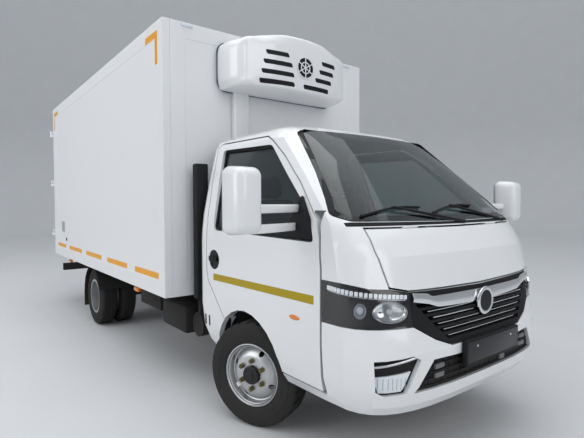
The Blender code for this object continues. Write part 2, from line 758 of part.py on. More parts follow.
def build_chassis():
    tail = box_back() - chassis_tail
    low = rail_top - rail_drop
    top_line = [(back(chassis_front), low), (back(drop_start), low), (back(drop_end), rail_top),
                (tail, rail_top)]
    under_line = [(y, z - rail_height) for y, z in reversed(top_line)]
    frame = None
    for side in (1, -1):
        outer = side * (rail_x + rail_width / 2)
        inner = side * (rail_x - rail_width / 2)
        start, end = sorted((outer, inner))
        rail = prism("chassis_frame", top_line + under_line, "X", start, end, "chassis_black")
        start, end = sorted((outer - side * rail_wall, inner - side * overrun))
        channel = shrunk(top_line + under_line, rail_wall)
        channel = [(y - overrun if y < back(drop_start - overrun) else y, z) for y, z in channel]
        channel = [(y + overrun if y > tail - overrun else y, z) for y, z in channel]
        cut(rail, prism("channel", channel, "X", start, end, "chassis_black"))
        frame = fuse(frame, rail) if frame else rail
    reach = rail_x + rail_width / 2 - rail_wall / 2
    for share in cross_places_share:
        y = back(chassis_front) + (tail - back(chassis_front)) * share
        z = rail_top - rail_height / 2 - (rail_drop if y < back(drop_start) else 0)
        fuse(frame, rod("cross", (-reach, y, z), (reach, y, z), cross_radius, "chassis_black"))
    for side in (1, -1):
        start, end = sorted((side * (rail_x - mount_half), side * (rail_x + mount_half)))
        fuse(frame, block("cab_mount", (start, back(mount_back), rail_top - rail_wall / 2),
                          (end, back(mount_back + 2 * mount_half), seat_deck_z - seat_gap), "chassis_black"))
        start, end = sorted((side * (rail_x - pad_half), side * (rail_x + pad_half)))
        fuse(frame, block("lift_pad", (start, back(pad_back - pad_length / 2),
                                       rail_top - rail_height - pad_drop),
                          (end, back(pad_back + pad_length / 2), rail_top - rail_height + rail_wall / 2),
                          "chassis_black"))
    frame.name = "chassis_frame"


# Wheels
tyre_bead = rim_seat_radius + seat_gap
# Tyre section from bead to bead: (share of the sidewall's height, share of half the width)
tyre_shares = ((0.00, -0.80), (0.11, -0.80), (0.14, -0.90), (0.45, -1.00), (0.82, -0.90), (1.00, -0.66),
               (1.00, 0.66), (0.82, 0.90), (0.45, 1.00), (0.14, 0.90), (0.11, 0.80), (0.00, 0.80))
disc_thickness = 0.008
rim_wall = 0.006
hub_cap_radius = 0.055
hub_cap_stand = 0.045
drum_radius = 0.14
front_disc_in = 0.012      # front wheel's disc face inside the rim's outer edge
front_dish_radius = 0.135
front_boss_radius = 0.085
hand_hole_radius = 0.018
hand_hole_ring = 0.118
hand_holes = 6
nut_ring = 0.075
nut_radius = 0.011
nut_height = 0.014
nuts = 6
twin_cap_stand = 0.10

# Front suspension
upright_half = 0.095
upright_radius = 0.022
stub_radius = 0.028
brake_radius = 0.115
steer_arm = 0.11
steer_arm_in = 0.03
arm_thickness = 0.022
arm_root_half = 0.11
arm_tip_half = 0.018
plate_gap = 0.014
cross_half_width = rail_x + rail_width / 2
cross_half_length = 0.07


def build_tyre(name, centre_x, y):
    """One road tyre as a closed ring that sits on its rim's bead seats."""
    depth = tyre_radius - tyre_bead
    profile = [(tyre_bead + depth * up, tyre_width / 2 * across) for up, across in tyre_shares]
    return turned(name, profile, "X", (centre_x, y, tyre_radius), "rubber")


def rim_barrel():
    """Barrel section of a rim as (radius, place outward), from the inner flange to the outer one."""
    seat = rim_seat_radius
    lip = rim_flange_radius
    half = rim_half_width
    bead = tyre_width / 2 * tyre_shares[-1][1] + seat_gap
    outside = [(seat, -bead), (lip, -bead), (lip, -half), (seat - rim_wall, -half)]
    inside = [(seat - rim_wall, half), (lip, half), (lip, bead), (seat, bead)]
    return outside, inside


def build_front_wheel(side, label, y):
    """Front tyre and the pressed steel wheel whose disc bulges outward."""
    tyre = build_tyre("tyre_front_" + label, side * front_track_half, y)
    outside, inside = rim_barrel()
    seat = rim_seat_radius - rim_wall
    face = rim_half_width - front_disc_in
    disc = [(seat, face - 3 * disc_thickness), (front_dish_radius, face), (front_boss_radius, face),
            (hub_cap_radius, face - disc_thickness), (hub_cap_radius, face + hub_cap_stand),
            (0, face + hub_cap_stand),
            (0, face - 3 * disc_thickness), (front_dish_radius, face - 2 * disc_thickness),
            (seat, face - 5 * disc_thickness)]
    profile = outside + list(reversed(disc)) + inside
    rim = turned("rim_front_" + label, [(r, side * a) for r, a in profile], "X",
                 (side * front_track_half, y, tyre_radius), "wheel_silver")
    dress_disc(rim, side, side * (front_track_half + face), y)
    return tyre, rim


def dress_disc(rim, side, face_x, y):
    """Hand holes through a wheel's disc and the ring of nuts round its cap."""
    for step in range(hand_holes):
        turn = math.tau * step / hand_holes
        spot = (y + hand_hole_ring * math.cos(turn), tyre_radius + hand_hole_ring * math.sin(turn))
        cut(rim, rod("hole", (face_x - 4 * disc_thickness, *spot), (face_x + 4 * disc_thickness, *spot),
                     hand_hole_radius, "wheel_silver", 10))
    for step in range(nuts):
        turn = math.tau * (step + 0.5) / nuts
        spot = (y + nut_ring * math.cos(turn), tyre_radius + nut_ring * math.sin(turn))
        fuse(rim, rod("nut", (face_x - side * disc_thickness, *spot), (face_x + side * nut_height, *spot),
                      nut_radius, "wheel_silver", 6))


def build_knuckle(side, label, y):
    """Steering knuckle: upright between the ball joints, stub axle and brake drum plate."""
    top = tyre_radius + upright_half
    low = tyre_radius - upright_half
    upright = rod("knuckle_" + label, (side * kingpin_x, y, low), (side * kingpin_x, y, top), upright_radius,
                  "cast_metal", 12)
    face = front_track_half + rim_half_width - front_disc_in - 3 * disc_thickness - seat_gap
    stub = rod("stub", (side * kingpin_x, y, tyre_radius), (side * face, y, tyre_radius), stub_radius,
               "cast_metal", 14)
    backplate = rod("plate", (side * (kingpin_x + arm_tip_half + plate_gap), y, tyre_radius),
                    (side * (face - 2 * disc_thickness), y, tyre_radius), brake_radius, "cast_metal", 20)
    start, end = sorted((side * (kingpin_x - steer_arm_in), side * (kingpin_x + upright_radius / 2)))
    arm_low = low + upright_radius / 2
    arm = block("arm", (start, y + upright_radius / 4, arm_low),
                (end, y + steer_arm, arm_low + upright_radius), "cast_metal")
    return fuse(upright, stub, backplate, arm)


def build_front_corner(side, label):
    """Knuckle and wheel on an empty at the kingpin, turned as the truck was parked."""
    pivot = bpy.data.objects.new("steer_" + label, None)
    pivot.location = (side * kingpin_x, axle_y, tyre_radius)
    pivot.rotation_euler = (0, 0, steer_rest)
    bpy.context.scene.collection.objects.link(pivot)
    knuckle = build_knuckle(side, label, axle_y)
    tyre, rim = build_front_wheel(side, label, axle_y)
    for piece in (knuckle, tyre, rim):
        piece.parent = pivot
        piece.matrix_parent_inverse = Matrix.Translation(pivot.location).inverted()


def build_front_axle():
    """Crossmember under the rails with an upper and a lower arm to each knuckle's ball joints."""
    low = tyre_radius - upright_half
    top = tyre_radius + upright_half
    beam = block("front_axle", (-cross_half_width, axle_y - cross_half_length, low - arm_thickness),
                 (cross_half_width, axle_y + cross_half_length, rail_top - rail_height - seat_gap),
                 "chassis_black")
    for side in (1, -1):
        for z, shift in ((low, -arm_thickness - seat_gap), (top, seat_gap)):
            outline = [(side * (cross_half_width - overrun), axle_y - arm_root_half),
                       (side * (cross_half_width - overrun), axle_y + arm_root_half),
                       (side * (kingpin_x + arm_tip_half), axle_y + arm_tip_half),
                       (side * (kingpin_x + arm_tip_half), axle_y - arm_tip_half)]
            fuse(beam, prism("arm", outline, "Z", z + shift, z + shift + arm_thickness, "chassis_black"))
    return beam


# Rear axle, springs and propshaft
axle_tube_radius = 0.045
diff_radius = 0.13
diff_half = 0.10
diff_face_share = 0.6      # of its radius, at its ends
diff_crown_share = 0.35    # of its half width, at its full radius
spring_half = 0.56
spring_width = 0.06
spring_pack = 0.045
leaf_seat_share = 0.6      # of the axle tube's radius, where the leaves rest
drum_width = 0.12
shaft_radius = 0.035
engine_low = 0.34
engine_top = 0.715
engine_half = 0.22
engine_front = 0.15
engine_back = 0.60
engine_feet_shares = (0.156, 0.778)   # along the engine
foot_length = 0.05


def rear_y():
    return back(wheelbase)


def build_rear_axle():
    y = rear_y()
    disc_in = twin_middle() - disc_thickness - seat_gap
    axle = rod("rear_axle", (-disc_in, y, tyre_radius), (disc_in, y, tyre_radius), axle_tube_radius,
               "chassis_black", 14)
    bowl = [(0, -diff_half), (diff_radius * diff_face_share, -diff_half),
            (diff_radius, -diff_half * diff_crown_share), (diff_radius, diff_half * diff_crown_share),
            (diff_radius * diff_face_share, diff_half), (0, diff_half)]
    fuse(axle, turned("diff", bowl, "X", (0, y, tyre_radius), "chassis_black", 18))
    for side in (1, -1):
        ends = sorted((side * (twin_middle() - drum_width - disc_thickness - seat_gap),
                       side * (disc_in - seat_gap)))
        fuse(axle, rod("drum", (ends[0], y, tyre_radius), (ends[1], y, tyre_radius), drum_radius,
                       "chassis_black", 24))
        top = rail_top - rail_height - seat_gap
        leaf_low = tyre_radius + axle_tube_radius * leaf_seat_share
        leaf = [(y - spring_half, top - spring_pack), (y, leaf_low), (y + spring_half, top - spring_pack),
                (y + spring_half, top), (y, leaf_low + spring_pack), (y - spring_half, top)]
        start, end = sorted((side * (rail_x - spring_width / 2), side * (rail_x + spring_width / 2)))
        fuse(axle, prism("spring", leaf, "X", start, end, "chassis_black"))
    nose = (0, back(engine_back) - overrun, (engine_low + engine_top) / 2 - shaft_radius)
    fuse(axle, rod("shaft", (0, y - diff_radius / 2, tyre_radius), nose, shaft_radius, "chassis_black", 12))
    return cut(axle, block("gearbox", (-engine_half, back(engine_front), engine_low),
                           (engine_half, back(engine_back) + seat_gap, engine_top), "chassis_black"))


def twin_middle():
    """Plane between the twin wheels in which their discs bolt together."""
    return twin_outer_x - twin_spacing / 2


def build_rear_wheels(side, label):
    """Two tyres on a pair of dished rims bolted back to back, turned as one."""
    y = rear_y()
    for place_name, x in (("outer", twin_outer_x), ("inner", twin_outer_x - twin_spacing)):
        build_tyre("tyre_rear_" + label + "_" + place_name, side * x, y)
    middle = twin_middle()
    profile = twin_profile(twin_outer_x - middle)
    rim = turned("rim_rear_" + label, [(r, side * a) for r, a in profile], "X",
                 (side * middle, y, tyre_radius),
                 "wheel_silver")
    for step in range(nuts):
        turn = math.tau * (step + 0.5) / nuts
        spot = (y + nut_ring * math.cos(turn), tyre_radius + nut_ring * math.sin(turn))
        fuse(rim, rod("nut", (side * middle, *spot), (side * (middle + disc_thickness + nut_height), *spot),
                      nut_radius,
                      "wheel_silver", 6))


def twin_profile(outer_in):
    """Section of both twin rims as one turned shape: (radius, place outward of their shared disc)."""
    seat, lip, half, wall, disc = rim_seat_radius, rim_flange_radius, rim_half_width, rim_wall, disc_thickness
    bead = tyre_width / 2 * tyre_shares[-1][1] + seat_gap
    skin = seat - wall
    inner_end = -outer_in - half
    outer_end = outer_in + half
    return [(0, -disc), (skin, -disc), (skin, inner_end), (lip, inner_end), (lip, -outer_in - bead),
            (seat, -outer_in - bead), (seat, -outer_in + bead), (lip, -outer_in + bead),
            (lip, -outer_in + half),
            (seat, -outer_in + half), (seat, outer_in - half), (lip, outer_in - half), (lip, outer_in - bead),
            (seat, outer_in - bead), (seat, outer_in + bead), (lip, outer_in + bead), (lip, outer_end),
            (skin, outer_end), (skin, disc), (hub_cap_radius + disc, disc), (hub_cap_radius, twin_cap_stand),
            (0, twin_cap_stand)]


# Under the body
tank_front = 0.92
tank_length = 0.48
tank_in = 0.45
tank_out = 0.85
tank_low = 0.35
tank_high = 0.576
tank_edge = 0.03
tank_strap = 0.05
battery_gap = 0.03
battery_length = 0.50
battery_low = 0.44
battery_high = 0.60
filter_y = 0.80
filter_z = 0.45
filter_radius = 0.093
filter_out = 0.80
filter_in = 0.56
snorkel_out = 0.84
snorkel_in = 0.74
snorkel_front = 0.72
snorkel_back = 0.79
snorkel_low = 0.66
snorkel_high = 1.68
silencer_x = 0.58
silencer_y = 1.55
silencer_z = 0.44
silencer_radius = 0.09
silencer_half = 0.28
pipe_radius = 0.024
pipe_joint = 0.02          # how far a pipe runs into the silencer
pipe_start = 0.04          # where the pipe begins behind the engine
pipe_bend = 0.08           # half of the length in which it crosses to the engine's side
tail_length = 0.28
tail_out = 0.16


def build_underbody():
    rail_out = rail_x + rail_width / 2 + seat_gap
    block("engine", (-engine_half, back(engine_front), engine_low),
          (engine_half, back(engine_back), engine_top),
          "cast_metal", tank_edge)
    engine = bpy.data.objects["engine"]
    web = rail_x + rail_width / 2 - rail_wall - seat_gap
    for share in engine_feet_shares:
        y = back(engine_front + (engine_back - engine_front) * share)
        fuse(engine, block("foot", (-web, y, rail_top - 2 * rail_height / 3),
                           (web, y + foot_length, rail_top - rail_height / 3), "cast_metal"))

    tank_end = tank_front + tank_length
    tank = block("fuel_tank", (-tank_out, back(tank_front), tank_low), (-tank_in, back(tank_end), tank_high),
                 "black_plastic", tank_edge)
    for y in (tank_front + tank_strap, tank_end - 2 * tank_strap):
        fuse(tank, block("strap", (-tank_in - overrun, back(y), tank_high - 2 * tank_strap),
                         (-rail_out, back(y + tank_strap), tank_high - tank_strap / 2), "black_plastic"))

    box_front = tank_end + battery_gap
    battery = block("battery_box", (-tank_out, back(box_front), battery_low),
                    (-tank_in, back(box_front + battery_length), battery_high), "black_plastic",
                    tank_edge / 2)
    fuse(battery, block("bracket", (-tank_in - overrun, back(box_front + tank_strap),
                                    battery_low + tank_strap),
                        (-rail_out, back(box_front + battery_length - tank_strap),
                         battery_low + 2 * tank_strap),
                        "black_plastic"))

    canister = rod("air_intake", (-filter_out, back(filter_y), filter_z),
                   (-filter_in, back(filter_y), filter_z),
                   filter_radius, "black_plastic", 24)
    duct = block("duct", (-snorkel_out, back(snorkel_front), snorkel_low),
                 (-snorkel_in, back(snorkel_back), snorkel_high), "black_plastic", tank_edge / 3)
    mid_x = -(snorkel_out + snorkel_in) / 2
    mid_y = back((snorkel_front + snorkel_back) / 2)
    hose = rod("hose", (mid_x, mid_y, snorkel_low + overrun), (mid_x + overrun, back(filter_y), filter_z),
               pipe_radius, "black_plastic", 16)
    stay = block("stay", (-filter_in - overrun, back(filter_y) - tank_strap / 2, filter_z + overrun),
                 (-rail_out, back(filter_y) + tank_strap / 2, filter_z + filter_radius), "black_plastic")
    fuse(canister, duct, hose, stay)

    silencer = rod("exhaust", (silencer_x, back(silencer_y - silencer_half), silencer_z),
                   (silencer_x, back(silencer_y + silencer_half), silencer_z), silencer_radius,
                   "cast_metal", 24)
    pipe_in = rod("pipe", (silencer_x, back(silencer_y - silencer_half + pipe_joint), silencer_z),
                  (silencer_x, back(engine_back + pipe_start), silencer_z), pipe_radius, "cast_metal", 12)
    cross = rod("pipe", (silencer_x, back(engine_back + pipe_bend), silencer_z),
                (engine_half + pipe_radius, back(engine_back - pipe_bend), silencer_z - pipe_bend),
                pipe_radius, "cast_metal", 12)
    tail = rod("pipe", (silencer_x, back(silencer_y + silencer_half - pipe_joint), silencer_z),
               (silencer_x + tail_out, back(silencer_y + silencer_half + tail_length),
                silencer_z - pipe_joint),
               pipe_radius, "cast_metal", 12)
    hanger_z = silencer_z + silencer_radius
    hanger = block("hanger", (rail_out, back(silencer_y) - tank_strap / 2, hanger_z - pipe_joint),
                   (silencer_x, back(silencer_y) + tank_strap / 2, hanger_z + pipe_joint), "cast_metal")
    return fuse(silencer, pipe_in, cross, tail, hanger)


# Box body
frame_depth = 0.09
door_depth = 0.08
jamb = 0.045
sill = 0.10
header = 0.10
leaf_gap = 0.012
hinge_stand = 0.025
hinge_radius = 0.012
hinge_places_share = (0.12, 0.5, 0.88)
strap_height = 0.06
strap_reach = 0.16
strap_thickness = 0.008
bar_radius = 0.011
bar_in = 0.16
bar_bracket = 0.05
bar_places_share = (0.06, 0.30, 0.55, 0.94)
bearer_places_share = (0.03, 0.15, 0.27, 0.39, 0.66, 0.78, 0.90)
bearer_width = 0.04


def panel(name, low, high, axis, facing):
    """A sandwich panel whose outer face is framed by edge profiles that stand a little proud."""
    made = block(name, low, high, "box_white")
    bm = bmesh.new()
    bm.from_mesh(made.data)
    index = "XYZ".index(axis)
    outer = max(bm.faces, key=lambda face: face.normal[index] * facing)
    bmesh.ops.inset_region(bm, faces=[outer], thickness=edge_rail, depth=0, use_even_offset=True)
    shift = [0, 0, 0]
    shift[index] = -facing * edge_proud
    bmesh.ops.inset_region(bm, faces=[outer], thickness=edge_proud, depth=0, use_even_offset=True)
    bmesh.ops.translate(bm, vec=shift, verts=outer.verts)
    bm.to_mesh(made.data)
    bm.free()
    return made


def build_box():
    top = box_bottom + box_height
    inside = box_half_width - box_wall
    front = back(box_start)
    rear = box_back()
    wall_end = rear - frame_depth - seat_gap
    for side, label in ((1, "left"), (-1, "right")):
        start, end = sorted((side * inside, side * box_half_width))
        panel("box_wall_" + label, (start, front, box_bottom), (end, wall_end, top), "X", side)
    within = inside - seat_gap
    panel("box_wall_front", (-within, front, box_bottom), (within, front + box_wall, top), "Y", -1)
    inner_front = front + box_wall + seat_gap
    block("box_roof", (-within, inner_front, top - box_roof_depth), (within, wall_end, top), "box_white")
    floor = block("box_floor", (-within, inner_front, box_bottom),
                  (within, wall_end, box_bottom + box_floor_depth),
                  "box_white")
    for share in bearer_places_share:
        y = front + (wall_end - front) * share + bearer_width
        fuse(floor, block("bearer", (-rail_x - 2 * rail_width, y, rail_top + seat_gap),
                          (rail_x + 2 * rail_width, y + bearer_width, box_bottom + overrun), "box_white"))

    outer = [(-box_half_width, box_bottom), (box_half_width, box_bottom), (box_half_width, top),
             (-box_half_width, top)]
    open_half = box_half_width - jamb
    inner = [(-open_half, box_bottom + sill), (open_half, box_bottom + sill), (open_half, top - header),
             (-open_half, top - header)]
    frame = prism("box_rear_frame", outer, "Y", rear - frame_depth, rear, "box_white")
    cut(frame, prism("opening", inner, "Y", rear - frame_depth - overrun, rear + overrun, "box_white"))
    pin_x = box_half_width + hinge_stand
    pin_y = rear + hinge_stand
    low = box_bottom + sill + run_gap
    high = top - header - run_gap
    for side, label in ((1, "left"), (-1, "right")):
        start, end = sorted((side * leaf_gap / 2, side * (open_half - run_gap)))
        leaf = block("box_door_" + label, (start, rear - door_depth, low), (end, rear, high), "box_white")
        for share in hinge_places_share:
            z = low + (high - low) * share - strap_height / 2
            barrel = rod("barrel", (side * pin_x, pin_y, z), (side * pin_x, pin_y, z + strap_height),
                         hinge_radius,
                         "box_white", 12)
            strap_y = rear + hinge_stand - hinge_radius
            start, end = sorted((side * (open_half - strap_reach), side * pin_x))
            strap = block("strap", (start, strap_y, z + strap_thickness),
                          (end, strap_y + strap_thickness, z + strap_height - strap_thickness), "box_white")
            start, end = sorted((side * (open_half - strap_reach), side * (open_half - jamb)))
            pad = block("pad", (start, rear - strap_thickness, z + strap_thickness),
                        (end, strap_y + strap_thickness / 2, z + strap_height - strap_thickness), "box_white")
            fuse(strap, pad, barrel)
            fuse(leaf, strap)
            lug_top = z - seat_gap
            lug_low = lug_top - strap_height / 2
            start, end = sorted((side * (box_half_width - strap_thickness), side * pin_x))
            lug = block("lug", (start, rear - strap_height / 2, lug_low), (end, pin_y, lug_top), "box_white")
            knuckle = rod("knuckle", (side * pin_x, pin_y, lug_low), (side * pin_x, pin_y, lug_top),
                          hinge_radius,
                          "box_white", 12)
            fuse(frame, lug, knuckle)
        bar_x = side * bar_in
        bar_y = rear + lock_stand - bar_radius
        bar = rod("bar", (bar_x, bar_y, low + overrun), (bar_x, bar_y, high - overrun), bar_radius,
                  "box_white", 12)
        fuse(leaf, bar)
        for share in bar_places_share:
            z = low + (high - low) * share
            fuse(leaf, block("bracket", (bar_x - bar_bracket / 2, rear - strap_thickness, z),
                             (bar_x + bar_bracket / 2, bar_y, z + bar_bracket), "box_white"))


# Refrigeration unit on the front wall: (distance ahead of the wall, half width, top, bottom) as shares
unit_depth = 0.40
unit_half = 0.60
unit_low = 2.17
unit_height = 0.46
unit_corner = 0.08
unit_shares = ((0.0, 1.0, 1.0, 0.0), (0.45, 1.0, 1.0, 0.0), (0.80, 0.95, 0.98, 0.02),
               (0.94, 0.87, 0.93, 0.06),
               (1.0, 0.76, 0.86, 0.12))
duct_x = 0.39
duct_half = 0.07
duct_depth = 0.06
duct_low = 1.10


def build_cooling_unit():
    rings = []
    wall = back(box_start) + edge_proud - seat_gap
    for ahead, wide, top, low in unit_shares:
        half = unit_half * wide
        high_z = unit_low + unit_height * top
        low_z = unit_low + unit_height * low
        square = [(-half, low_z), (half, low_z), (half, high_z), (-half, high_z)]
        rings.append([(x, wall - unit_depth * ahead, z) for x, z in rounded(square, unit_corner)])
    unit = loft("cooling_unit", rings, "white_paint")
    block("cooling_duct", (-duct_x - duct_half, wall - duct_depth, duct_low),
          (-duct_x + duct_half, wall, unit_low - seat_gap), "white_paint", duct_depth / 5)
    return unit


# Rear mudguards and underrun bar
guard_gap = 0.02
guard_wall = 0.004
guard_width = 0.40
guard_angle = math.radians(70)
guard_steps = 12
flap_low = 0.16
bar_low = 0.42
bar_high = 0.52
bar_depth = 0.06
bar_half = 0.95
hang_width = 0.05


def build_guards():
    """Arched guards over the twin wheels on one tube slung under the rails."""
    y = rear_y()
    radius = tyre_radius + guard_gap
    tube_radius = bar_radius
    tube_z = rail_top - rail_height - seat_gap - tube_radius
    tube_y = y + math.sqrt((radius + guard_wall / 2) ** 2 - (tube_z - tyre_radius) ** 2)
    guards = rod("rear_mudguards", (-box_half_width + 2 * overrun, tube_y, tube_z),
                 (box_half_width - 2 * overrun, tube_y, tube_z), tube_radius, "black_plastic", 10)
    for side in (1, -1):
        outer = []
        for step in range(guard_steps + 1):
            turn = -guard_angle + (guard_angle + math.pi / 2) * step / guard_steps
            outer.append((y + math.sin(turn), math.cos(turn)))
        arc = [(y + (py - y) * (radius + guard_wall), tyre_radius + pz * (radius + guard_wall)) for py,
               pz in outer]
        under = [(y + (py - y) * radius, tyre_radius + pz * radius) for py, pz in reversed(outer)]
        out_x = box_half_width - 2 * overrun
        start, end = sorted((side * (out_x - guard_width), side * out_x))
        shape = prism("guard", arc + under, "X", start, end, "black_plastic")
        flap_y = y + radius
        flap = block("flap", (start, flap_y, flap_low),
                     (end, flap_y + 2 * guard_wall, tyre_radius + guard_gap),
                     "black_plastic")
        fuse(guards, shape, flap)
    return guards


def build_underrun():
    rear = box_back() - chassis_tail + seat_gap
    bar = block("rear_bar", (-bar_half, rear, bar_low), (bar_half, rear + bar_depth, bar_high),
                "chassis_black")
    for side in (1, -1):
        start, end = sorted((side * (rail_x - hang_width / 2), side * (rail_x + hang_width / 2)))
        fuse(bar, block("hanger", (start, rear, bar_high - overrun),
                        (end, rear + bar_depth / 2, rail_top - overrun), "chassis_black"))
    return bar


# Front wheel housings with their flaps
liner_gap = 0.004
liner_wall = 0.004
liner_in = 0.50
liner_out = cab_half_width * cab_level_shares[0][1] - cab_wall - run_gap
liner_front = math.radians(-85)
liner_back = math.radians(90)
liner_steps = 14
flap_in = 0.12             # flap's inner edge outside the liner's


def build_wheel_housings():
    centre_y = back(arch_back)
    radius = arch_radius + liner_gap
    for side, label in ((1, "left"), (-1, "right")):
        turns = [liner_front + (liner_back - liner_front) * step / liner_steps
                 for step in range(liner_steps + 1)]
        outer = [(centre_y + (radius + liner_wall) * math.sin(t),
                  arch_height + (radius + liner_wall) * math.cos(t))
                 for t in turns]
        inner = [(centre_y + radius * math.sin(t),
                  arch_height + radius * math.cos(t)) for t in reversed(turns)]
        start, end = sorted((side * liner_in, side * liner_out))
        liner = prism("wheel_housing_" + label, outer + inner, "X", start, end, "black_plastic")
        start, end = sorted((side * (liner_in + flap_in), side * liner_out))
        flap = block("flap", (start, centre_y + radius, flap_low), (end, centre_y + radius + 2 * liner_wall,
                                                                    arch_height),
                     "black_plastic")
        stay = block("stay", (start, centre_y, arch_height + radius + liner_wall / 2),
                     (end, centre_y + 2 * overrun, seat_deck_z - seat_gap), "black_plastic")
        fuse(liner, flap, stay)


build_cab_shell()
build_screen()
build_doors()
build_front_end()
build_cab_inside()
build_mirrors()
build_chassis()
build_front_axle()
build_rear_axle()
build_underbody()
build_box()
build_cooling_unit()
build_guards()
build_underrun()
build_wheel_housings()
for side, label in ((1, "left"), (-1, "right")):
    build_front_corner(side, label)
    build_rear_wheels(side, label)
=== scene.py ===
# Looks of the refrigerated truck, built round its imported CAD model.
import json
import math

import bmesh
import bpy
from mathutils import Euler, Matrix, Vector
from mathutils.bvhtree import BVHTree


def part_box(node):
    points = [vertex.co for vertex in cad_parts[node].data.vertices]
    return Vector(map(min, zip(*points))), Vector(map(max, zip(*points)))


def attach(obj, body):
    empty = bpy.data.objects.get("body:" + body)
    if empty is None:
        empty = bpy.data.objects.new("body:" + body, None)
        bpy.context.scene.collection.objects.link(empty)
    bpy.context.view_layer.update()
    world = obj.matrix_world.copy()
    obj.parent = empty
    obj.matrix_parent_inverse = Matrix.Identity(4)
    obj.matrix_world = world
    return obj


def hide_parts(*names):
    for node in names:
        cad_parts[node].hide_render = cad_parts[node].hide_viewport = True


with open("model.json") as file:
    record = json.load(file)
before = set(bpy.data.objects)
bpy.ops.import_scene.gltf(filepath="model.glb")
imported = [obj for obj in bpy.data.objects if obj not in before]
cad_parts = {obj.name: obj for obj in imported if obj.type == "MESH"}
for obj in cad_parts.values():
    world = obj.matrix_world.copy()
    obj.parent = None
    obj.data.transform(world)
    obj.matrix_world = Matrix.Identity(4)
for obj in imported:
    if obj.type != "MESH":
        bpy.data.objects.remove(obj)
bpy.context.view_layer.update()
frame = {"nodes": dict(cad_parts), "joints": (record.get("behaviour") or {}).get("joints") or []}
nodes = frame["nodes"]

# Studio: a plain pale floor that turns up into a backdrop, three soft lamps and the camera
# at the place where the photograph was taken, in front of the truck's right corner.
camera_place = (-2.339, -4.3255, 1.371)
camera_pitch, camera_yaw, camera_roll = (math.radians(turn) for turn in (-1.84, -37.72, -0.195))
camera_data = bpy.data.cameras.new("camera")
camera_data.sensor_width = 36.0
camera_data.lens = 27.851
camera = bpy.data.objects.new("camera", camera_data)
bpy.context.scene.collection.objects.link(camera)
camera_turn = Euler((math.radians(90) + camera_pitch, 0, camera_yaw)).to_matrix()
camera.matrix_world = Matrix.Translation(camera_place) @ (
    camera_turn @ Matrix.Rotation(camera_roll, 3, "Z")).to_4x4()
bpy.context.scene.camera = camera
bpy.context.scene.view_settings.view_transform = "Standard"

studio = bpy.data.worlds.new("studio")
studio.use_nodes = True
bpy.context.scene.world = studio
world_nodes, world_links = studio.node_tree.nodes, studio.node_tree.links
sky = world_nodes["Background"]
sky.inputs["Color"].default_value = (0.86, 0.89, 0.93, 1)
rays = world_nodes.new("ShaderNodeLightPath")
sky_level = world_nodes.new("ShaderNodeMapRange")
sky_level.inputs["To Min"].default_value = 1.05
sky_level.inputs["To Max"].default_value = 0.80
world_links.new(rays.outputs["Is Camera Ray"], sky_level.inputs["Value"])
world_links.new(sky_level.outputs["Result"], sky.inputs["Strength"])


def soft_lamp(name, place, target, size, power):
    """A square soft lamp at a place, turned to a target."""
    data = bpy.data.lights.new(name, "AREA")
    data.size = size
    data.energy = power
    lamp = bpy.data.objects.new(name, data)
    bpy.context.scene.collection.objects.link(lamp)
    lamp.location = place
    lamp.rotation_euler = (Vector(target) - Vector(place)).to_track_quat("-Z", "Y").to_euler()


soft_lamp("lamp_top", (-1.0, -1.0, 8.5), (0, 0, 1), 9.0, 250)
soft_lamp("lamp_front", (-1.0, -11.0, 5.0), (0, -1, 1), 7.0, 280)
soft_lamp("lamp_side", (-10.0, 1.0, 4.5), (0, 0.5, 1), 7.0, 360)


def set_shader(finish, *settings):
    """Sets sockets on a material's own shader, each given as a name and a value."""
    for socket_name, value in settings:
        finish.node_tree.nodes["Principled BSDF"].inputs[socket_name].default_value = value


def start_finish(name, colour, roughness, metallic=0.0, specular=0.5):
    """A new material with its shader's own sockets set."""
    made = bpy.data.materials.new(name)
    made.use_nodes = True
    set_shader(made, ("Base Color", (*colour, 1)), ("Roughness", roughness), ("Metallic", metallic),
               ("Specular IOR Level", specular))
    return made


def finished_piece(name, bm, finish, body, soften=None, smooth_to=35):
    """A named piece from a bmesh: its material, shading, rounded edges and the body it rides on."""
    mesh = bpy.data.meshes.new(name)
    bm.to_mesh(mesh)
    bm.free()
    mesh.shade_smooth()
    mesh.set_sharp_from_angle(angle=math.radians(smooth_to))
    mesh.materials.append(finish)
    piece = bpy.data.objects.new(name, mesh)
    bpy.context.scene.collection.objects.link(piece)
    if soften:
        edges = piece.modifiers.new("edges", "BEVEL")
        edges.width = soften
        edges.segments = 2
        edges.limit_method = "ANGLE"
        edges.angle_limit = math.radians(smooth_to)
        edges.harden_normals = True
    if body:
        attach(piece, body)
    return piece


def spin_line(bm, line, centre, axis, steps, closed=True):
    """Adds what a line of points sweeps round an axis. A closed line sweeps a ring."""
    verts = [bm.verts.new(point) for point in line]
    edges = [bm.edges.new(pair) for pair in zip(verts, verts[1:] + (verts[:1] if closed else []))]
    bmesh.ops.spin(bm, geom=verts + edges, cent=centre, axis=axis, angle=math.tau, steps=steps,
                   use_merge=True)
    bmesh.ops.recalc_face_normals(bm, faces=bm.faces)


